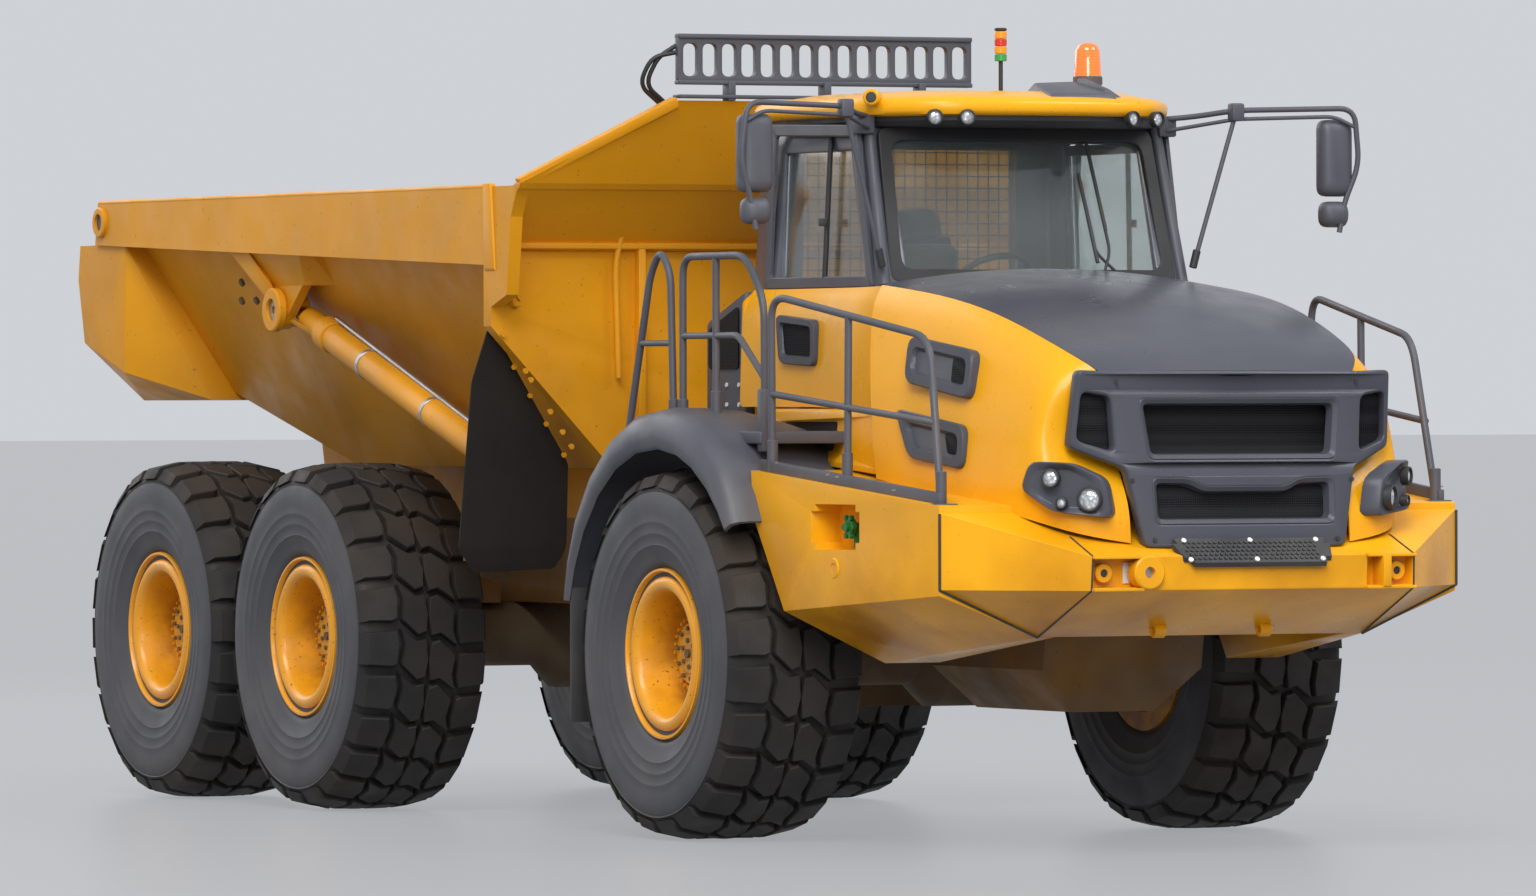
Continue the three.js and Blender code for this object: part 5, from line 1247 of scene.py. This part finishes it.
dome = [(0, 0), (0, 0.070), (0.13, 0.062), (0.155, 0.050), (0.168, 0.025), (0.172, 0)]
roof_parts += [
    standing("beacon_foot", beacon_at, 0, 0.055, 0.030, black_plastic, 24, 0.004),
    standing("beacon_base", beacon_at, 0.05, 0.10, 0.075, graphite, 32, 0.008),
    domed("beacon_dome", dome, 32, beacon_at + UP * 0.098, UP, amber, 40),
    standing("mast_foot", mast_at, 0, 0.04, 0.035, black_plastic, 24, 0.006),
    standing("mast", mast_at, 0, 0.20, 0.011, black_plastic, 12)]
for i, tint in enumerate((0, 1, 2, 1)):
    low = MAST_LAMPS_UP + MAST_LAMP_PITCH * i
    roof_parts.append(standing("mast_lamp", mast_at, low, low + 0.036, 0.031, mast_lamps[tint], 24, 0.004))
camera_at = at(-0.84, -0.64, 3.68)
roof_parts += [
    standing("mast_cap", mast_at, 0.342, 0.358, 0.032, black_plastic, 24, 0.006),
    block("scoop", graphite, 0.012, [
        (0.00, -0.955, 3.665), (0.02, -0.94, 3.70), (0.06, -0.55, 3.70), (0.10, -0.60, 3.765),
        (0.40, -0.945, 3.665), (0.37, -0.92, 3.71), (0.40, -0.50, 3.70), (0.33, -0.58, 3.775)]),
    block("scoop_wing", graphite, 0.008, [
        (0.33, -0.92, 3.67), (0.34, -0.90, 3.73), (0.33, -0.60, 3.70), (0.33, -0.62, 3.79),
        (0.47, -0.90, 3.665), (0.37, -0.88, 3.73), (0.46, -0.62, 3.69), (0.37, -0.63, 3.79)]),
    round_bar("camera", camera_at + Vector((0.05, 0.05, 0)), camera_at + Vector((-0.03, -0.07, 0)), 0.042,
              panel_yellow, 24, 0.008),
    round_bar("camera_eye", camera_at + Vector((-0.028, -0.066, 0)), camera_at + Vector((-0.034, -0.078, 0)),
              0.026, black_plastic, 20, 0.003)]
assembled("roof_moulding", roof_parts, "front_unit", ["cab_roof"])

# ---- mirrors ----
# A swing arm from the roof corner to a loop of tube that carries two moulded mirror heads.
# The tube is painted steel, and the heads are plastic shells round silvered glass.
silvered = Finish("mirror_face")
mirror_face = silvered.done({
    "Base Color": silvered.tinted(silvered.noise(9, 4), 0.4, 0.8, (0.75, 0.78, 0.8), (0.5, 0.52, 0.53)),
    "Metallic": 1.0, "Roughness": 0.06})
MIRROR_DEEP = 0.085
MIRROR_SHELL = [(0.008, -MIRROR_DEEP, 0.045), (0.0, -MIRROR_DEEP + 0.012, 0.05), (0.0, -0.035, 0.05),
                (0.010, -0.010, 0.05), (0.028, 0.004, 0.045), (0.055, 0.010, 0.04)]
MIRROR_GLASS = [(0.014, MIRROR_DEEP - 0.004, 0.04), (0.014, MIRROR_DEEP + 0.003, 0.04),
                (0.018, MIRROR_DEEP + 0.005, 0.04)]
for side, label in ((-1, "right"), (1, "left")):
    put = on_side(side)
    mirror = [
        bent_tube("arm", [put(0.80, -0.56, 3.585), put(0.95, -0.70, 3.60), put(1.094, -0.874, 3.629),
                          put(1.70, -1.010, 3.642), put(1.732, -1.00, 3.36), put(1.66, -0.97, 3.16),
                          put(1.635, -0.97, 3.02)], 0.014, graphite, 0.08),
        bent_tube("arm_low", [put(0.84, -0.62, 3.53), put(1.094, -0.874, 3.585), put(1.60, -0.985, 3.600),
                              put(1.70, -1.005, 3.55)], 0.010, graphite, 0.06),
        bent_tube("stay", [put(1.094, -0.874, 3.61), put(0.878, -0.832, 2.86)], 0.012, graphite),
        round_bar("stay_eye", put(0.895, -0.835, 2.93), put(0.872, -0.831, 2.84), 0.020, black_plastic, 16,
                  0.004),
        bar_box("hinge_block", (side * 1.06, -0.91, 3.575), (side * 1.13, -0.845, 3.665), graphite, 0.012),
        bar_box("roof_bracket", (side * 0.80, -0.62, 3.50), (side * 0.90, -0.50, 3.60), graphite, 0.012)]
    for low, high, inner, outer in ((3.20, 3.585, 1.535, 1.715), (3.045, 3.175, 1.545, 1.695)):
        outline = [put(x, -0.985, z) for x, z in ((inner, low), (outer, low), (outer, high), (inner, high))]
        mirror += [moulding("mirror_head", outline, (0, -1, 0), MIRROR_SHELL, graphite, angle=50),
                   moulding("mirror_glass", outline, (0, 1, 0), MIRROR_GLASS, mirror_face)]
    assembled(f"mirror_{label}_parts", mirror, "front_unit", [f"mirror_{label}"])

# ---- driver's seat and console ----
# A suspension seat with a cushion, a high back and a head pad in dark woven cloth, and the dashboard with
# its steering wheel.
cloth = Finish("seat_weave")
warp, weft = (cloth.add("ShaderNodeTexWave", {"Scale": 110, "Distortion": 0.6, "Vector": cloth.place},
                        bands_direction=axis)["Fac"] for axis in ("X", "Z"))
threads = cloth.maths("MULTIPLY", warp, weft, True)
weave = cloth.done({
    "Base Color": cloth.tinted(threads, 0.1, 0.7, (0.018, 0.018, 0.022), (0.055, 0.056, 0.066)),
    "Roughness": 0.9, "Sheen Weight": 0.35, "Sheen Roughness": 0.5, "Normal": cloth.relief(threads, 0.0015)})
SEAT_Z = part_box("driver_seat")[0].z
SWELL = 0.012


def cushion(name, low, high, thick, facing, crowned):
    """A stuffed pad between its (half width, y, height) edges: its slab is blown up a little by a cloth
    simulation, no point moving past the swell."""
    corners = [at(s * x, y, SEAT_Z + z) for s, (x, y, z) in ((-1, low), (1, low), (1, high), (-1, high))]
    slab = moulding(name, corners, facing, [
        (0.020, -thick, 0.05), (0.004, -thick + 0.018, 0.06), (0.0, -0.035, 0.06), (0.014, -0.010, 0.06),
        (0.050, crowned * 0.7, 0.06), (0.11, crowned, 0.06)], weave)
    work = added("work", slab)
    mesher = work.modifiers.new("mesh", "REMESH")
    mesher.mode = "VOXEL"
    mesher.voxel_size = 0.012
    fine = settled(work)
    start = [v.co.copy() for v in fine.vertices]
    work = added("work", fine)
    stuffing = work.modifiers.new("stuffing", "CLOTH")
    stuffing.settings.use_pressure = True
    stuffing.settings.uniform_pressure_force = 4
    stuffing.settings.effector_weights.gravity = 0
    for step in range(1, 16):
        scene.frame_set(step)
    fine = settled(work)
    scene.frame_set(1)
    for v, rest in zip(fine.vertices, start):
        moved = v.co - rest
        v.co = rest + (moved if moved.length < SWELL else moved.normalized() * SWELL)
    fine.polygons.foreach_set("use_smooth", [True] * len(fine.polygons))
    fine.materials.clear()
    fine.materials.append(weave)
    piece(name, fine, "front_unit")


cushion("seat_cushion", (0.25, -0.14, 0.43), (0.24, 0.36, 0.42), 0.10, (0, -0.03, 1), 0.012)
cushion("seat_back", (0.24, 0.335, 0.44), (0.21, 0.42, 0.90), 0.09, (0, -1, 0.18), 0.010)
cushion("seat_head_pad", (0.14, 0.430, 0.91), (0.12, 0.46, 1.07), 0.07, (0, -1, 0.15), 0.008)
seat_shell = [block("seat_shell", black_plastic, 0.015, [(x, y, SEAT_Z + z) for x, y, z in (
    (-0.22, 0.41, 0.35), (-0.20, 0.500, 0.92), (-0.22, 0.44, 0.35), (-0.20, 0.530, 0.92),
    (0.22, 0.41, 0.35), (0.20, 0.500, 0.92), (0.22, 0.44, 0.35), (0.20, 0.530, 0.92))])]
seat_frame = []
for name, x, half, front, rear, low, high, edge in (
        ("foot", 0, 0.22, -0.08, 0.34, 0.001, 0.05, 0.01), ("bellows", 0, 0.13, 0.0, 0.26, 0.05, 0.29, 0.03),
        ("pan", 0, 0.24, -0.12, 0.37, 0.29, 0.335, 0.012),
        ("arm_rest", -0.29, 0.035, 0.0, 0.36, 0.60, 0.65, 0.015),
        ("arm_post", -0.26, 0.02, 0.30, 0.36, 0.40, 0.62, 0.008),
        ("arm_rest", 0.29, 0.035, 0.0, 0.36, 0.60, 0.65, 0.015),
        ("arm_post", 0.26, 0.02, 0.30, 0.36, 0.40, 0.62, 0.008)):
    seat_frame.append(bar_box(name, (x - half, front, SEAT_Z + low), (x + half, rear, SEAT_Z + high),
                              black_plastic, edge))
assembled("seat_frame", seat_frame[:3] + seat_shell + seat_frame[3:], "front_unit",
          ["driver_seat"])
dressed("console", "front_unit", black_plastic, 0.008)

# ---- tipping body ----
# Welded plate: a band along the top, walls that slope in to the floor, and a front wall with a rib, a
# stiffener and a folded canopy.
# Its paint is darker towards the bottom: partly dust, partly painted shade on the walls that slope in, which
# leaves the band brighter.
dressed("tipping_body", "tipping_body", body_yellow, 0.012, 20)
BAND_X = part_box("tipping_body")[1].x
PIN_IN = 0.092
fittings = []
for side, label in ((-1, "right"), (1, "left")):
    put = on_side(side)
    rod_low, rod_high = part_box(f"hoist_rod_{label}")
    eye_y, eye_z = rod_high.y - AXLE_Y - PIN_IN, rod_high.z - PIN_IN
    boss_x = abs(rod_low.x + rod_high.x) / 2 + 0.130
    fittings += [
        bent_tube("band_rim", [put(BAND_X - 0.012, 2.15, 3.283), put(BAND_X - 0.012, 7.28, 3.283)], 0.014,
                  body_yellow, 0.02, 10),
        block("front_rib", body_yellow, 0.006, [
            (BAND_X - 0.02, 2.075, 3.30), (1.50, 2.02, 2.69), (BAND_X - 0.02, 2.10, 3.30), (1.50, 2.10, 2.69),
            (BAND_X + 0.015, 2.075, 3.30), (BAND_X + 0.010, 2.03, 2.86), (BAND_X + 0.015, 2.16, 3.30),
            (BAND_X + 0.010, 2.16, 2.86)], side),
        block("rib_foot", body_yellow, 0.006, [
            (BAND_X - 0.02, 2.03, 2.86), (1.49, 2.03, 2.665), (BAND_X - 0.02, 2.10, 2.86),
            (1.49, 2.10, 2.665), (BAND_X + 0.012, 2.03, 2.87), (1.53, 2.03, 2.665),
            (BAND_X + 0.012, 2.15, 2.87), (1.53, 2.10, 2.665)], side),
        round_bar("lifting_boss", put(BAND_X - 0.01, 7.24, 3.175), put(BAND_X + 0.022, 7.24, 3.175), 0.085,
                  body_yellow, 36, 0.008, 0.050),
        # A graphite disc inside the boss's hole is painted shade.
        round_bar("boss_hole_shade", put(BAND_X - 0.01, 7.24, 3.175), put(BAND_X + 0.006, 7.24, 3.175), 0.052,
                  graphite),
        round_bar("hoist_boss", put(boss_x - 0.02, eye_y, eye_z), put(boss_x + 0.030, eye_y, eye_z), 0.118,
                  body_yellow, 40, 0.008, 0.062),
        round_bar("hoist_pin", put(boss_x - 0.02, eye_y, eye_z), put(boss_x + 0.012, eye_y, eye_z), 0.064,
                  steel, 28, 0.006, 0.022),
        block("hoist_gusset", body_yellow, 0.008, [
            (boss_x - 0.01, eye_y + 0.05, eye_z + 0.08), (1.49, eye_y + 0.36, 3.02),
            (boss_x - 0.01, eye_y + 0.11, eye_z + 0.03), (1.49, eye_y + 0.62, 3.02),
            (boss_x + 0.01, eye_y - 0.02, eye_z + 0.10), (1.61, eye_y + 0.30, 3.03),
            (boss_x + 0.01, eye_y + 0.09, eye_z + 0.06), (1.61, eye_y + 0.58, 3.04)], side),
        bolts([(put(1.43, 5.55 + 0.20 * i, 2.83 - 0.10 * j), (side, 0, -0.4)) for i in (0, 1) for j in (0,
                                                                                                        1)],
              0.022, 0.018, cast_iron),
        block("drag_link", body_yellow, 0.004, [
            (boss_x - 0.05, eye_y - 0.17, eye_z - 0.06), (1.03, 3.30, 1.96),
            (boss_x - 0.05, eye_y - 0.10, eye_z - 0.07), (1.03, 3.37, 1.94),
            (boss_x - 0.03, eye_y - 0.17, eye_z - 0.05), (1.05, 3.30, 1.97),
            (boss_x - 0.03, eye_y - 0.10, eye_z - 0.06), (1.05, 3.37, 1.95)], side)]
    for share in (0.35, 0.70):
        spot = put(boss_x - 0.04, eye_y - 0.13, eye_z - 0.06).lerp(put(1.04, 3.33, 1.955), share)
        fittings.append(round_bar("link_tie", spot - Vector((side * 0.14, 0, 0)),
                                  spot + Vector((side * 0.03, 0, 0)), 0.012, body_yellow, 10))
fittings += [
    bent_tube("wall_hose", [at(-0.84, 1.60, 3.57), at(-0.86, 1.78, 3.42), at(-0.87, 1.97, 3.28),
                            at(-0.90, 2.045, 3.08), at(-0.95, 2.052, 2.90), at(-0.93, 2.052, 2.30)], 0.016,
              body_yellow, 0.15, 10),
    block("stiffener", body_yellow, 0.005, [(x, y, z) for x in (-1.55, 1.55) for y, z in (
        (2.035, 2.965), (2.035, 2.995), (2.10, 2.95), (2.10, 3.01))])]
fittings += [bar_box("wall_rib", (x - 0.02, 2.035, 2.0), (x + 0.02, 2.10, 2.965),
                     body_yellow) for x in (-0.80, 0.80)]
fittings += [block("canopy_lip", body_yellow, 0.005, [
    (1.62, 1.745, 3.27), (0.85, 1.49, 3.685), (1.62, 1.80, 3.275), (0.85, 1.56, 3.69), (1.645, 1.735, 3.315),
    (0.87, 1.48, 3.735), (1.645, 1.79, 3.32), (0.87, 1.55, 3.74)], side) for side in (-1, 1)]
edge_bolts = bolts([(at(side * (1.60 - 0.5 * t), 2.085, 2.56 - 0.75 * t), (0, -1, 0)) for side in (-1, 1)
                    for t in (0.05, 0.30, 0.36, 0.58, 0.72, 0.82)], 0.016, 0.014, body_yellow)
assembled("body_fittings", fittings + [edge_bolts], "tipping_body")

# ---- rubber flaps ----
# Belting sheets bolted along the tapered edge of the front wall, their corners cut round.
# They keep mud off the body, and swing back a little as they hang down.
rubber_sheet = worn("rubber_sheet", (0.014, 0.012, 0.011), (0.035, 0.026, 0.020), 0.5, 1.0, 3.0, 0.25,
                    (0.6, 0.8), 0.6, 60.0, 0.15, shine=0.2)
FLAP_TOP, FLAP_LONG = 2.565, 1.26
for side, label in ((-1, "right"), (1, "left")):


    def hang(u, v, w):
        """Further back the lower it hangs, with a slight wave."""
        lower = max(0.0, min(1.0, (FLAP_TOP - v) / FLAP_LONG))
        return at(side * u, 2.185 + 0.20 * lower ** 0.85 - w + 0.012 * math.sin(9 * u + 5 * v), v)


    flap_bolts = [(at(side * (1.585 - 0.485 * t), 2.17 + 0.10 * t, 2.53 - 0.70 * t), (0, -1, 0))
                  for t in (0.04, 0.25, 0.46, 0.67, 0.9)]
    assembled(f"flap_{label}_sheet", [
        pierced("flap", [(1.60, 2.585), (1.10, 1.86), (1.09, 1.42), (1.15, 1.31), (1.60, 1.295), (1.70, 1.42),
                         (1.675, 2.28)], [], 0.014, 0.003, rubber_sheet, hang),
        bolts(flap_bolts, 0.015, 0.010, body_yellow)], "tipping_body",
              [f"rubber_flap_{label}"])

# ---- hoist and steering rams ----
# Round barrels with welded glands and hard chrome rods, an eye with its pin at each end.
# Steel straps hold a pipe along the top of each hoist barrel.
chrome = worn("chrome", (0.80, 0.81, 0.83), (0.35, 0.28, 0.18), 0.3, 0.8, 2.5, 0.2, (0.06, 0.16), 0.1,
              metal=1.0)
joint_places = {joint["name"]: Vector(joint["pos_m"]) for joint in frame["joints"] if "pos_m" in joint}
for side, label in ((-1, "right"), (1, "left")):
    barrel_name, rod_name = f"hoist_barrel_{label}", f"hoist_rod_{label}"
    low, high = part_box(barrel_name)
    rod_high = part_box(rod_name)[1]
    foot = joint_places[barrel_name + "_hinge"]
    eye = Vector((side * (abs(low.x + high.x) / 2), rod_high.y - PIN_IN, rod_high.z - PIN_IN))
    along = (eye - foot).normalized()
    length = (eye - foot).length
    barrel = [round_bar(name, foot + along * start, foot + along * end, *size) for name, start, end,
              *size in (
        ("barrel", 0.02, length - 0.42, 0.079, body_yellow, 40, 0.006),
        ("stage", length - 0.46, length - 0.17, 0.066, body_yellow, 36, 0.004, 0.050),
        ("gland", length - 0.52, length - 0.40, 0.090, body_yellow, 40, 0.006))]
    pipe_up = Vector((-side * 0.02, 0, 0.085))
    barrel += [
        round_bar("eye", foot - Vector((0.089, 0, 0)), foot + Vector((0.089, 0, 0)), 0.076, body_yellow, 32,
                  0.008),
        bent_tube("ram_pipe", [foot + along * 0.30 + pipe_up,
                               foot + along * (length - 0.50) + pipe_up + Vector((0, 0, 0.013))], 0.014,
                  steel, 0.05, 10)]
    for share in (0.30, 0.62):
        ring = foot + along * length * share
        barrel.append(round_bar("strap", ring, ring + along * 0.03, 0.084, steel, 36, 0.003))
    assembled(barrel_name + "_round", barrel, barrel_name, [barrel_name])
    rod = [round_bar("rod", foot + along * 0.13, eye - along * 0.05, 0.049, chrome, 40, 0.004),
           round_bar("rod_eye", eye - Vector((0.040, 0, 0)), eye + Vector((0.040, 0, 0)), 0.091, body_yellow,
                     40, 0.008, 0.035)]
    assembled(rod_name + "_round", rod, rod_name, [rod_name])
    dressed(f"steer_barrel_{label}", f"steer_barrel_{label}", frame_yellow, 0.004, 50)
    dressed(f"steer_rod_{label}", f"steer_rod_{label}", chrome, 0.003, 50)

# ---- headboard guard ----
# A graphite fence of upright flat bars between two rails, bolted to the canopy, with a hose at its right end.
# It keeps what falls from a loading bucket off the roof of the cab.
low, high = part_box("headboard_guard")
GUARD_Y = (low.y + high.y) / 2 - AXLE_Y
SLATS = 15
SLAT_PITCH = (high.x - low.x - 0.03) / SLATS
openings = []
for i in range(SLATS):
    left = low.x + 0.015 + SLAT_PITCH * i + 0.014
    right = left + SLAT_PITCH - 0.028
    openings.append([(left, low.z + 0.125), (right, low.z + 0.125), (right, high.z - 0.050),
                     (left, high.z - 0.050)])
fence = [(low.x, low.z + 0.085), (high.x, low.z + 0.085), (high.x, high.z), (low.x, high.z)]
guard = [pierced("guard_plate", fence, openings, 0.040, 0.004, graphite, lambda u, v,
                 w: at(u, GUARD_Y - w, v))]
for name, front, rear, bottom, top, edge in (("top_lip", 0.032, 0.030, high.z - 0.024, high.z, 0.006),
                                             ("low_lip", 0.034, 0.030, low.z + 0.082, low.z + 0.104, 0.005),
                                             ("foot_rail", 0.05, 0.05, low.z + 0.012, low.z + 0.030, 0.004)):
    guard.append(bar_box(name, (low.x, GUARD_Y - front, bottom), (high.x, GUARD_Y + rear, top), graphite,
                         edge))
for x in (-0.55, 0.0, 0.55):
    guard.append(bar_box("foot", (x - 0.02, GUARD_Y - 0.045, low.z),
                         (x + 0.02, GUARD_Y + 0.035, low.z + 0.10), graphite))
for apart in (0.0, 0.035):
    guard.append(bent_tube("guard_hose", [
        at(-0.84, GUARD_Y + 0.02, high.z - 0.06 - apart), at(-0.93 - apart, GUARD_Y + 0.05, high.z - 0.12),
        at(-0.98 - apart, GUARD_Y + 0.10, high.z - 0.26), at(-0.83 - apart, GUARD_Y + 0.14, high.z - 0.365)],
                           0.012, black_plastic, 0.08, 10))
assembled("headboard_guard_bars", guard, "tipping_body", ["headboard_guard"])
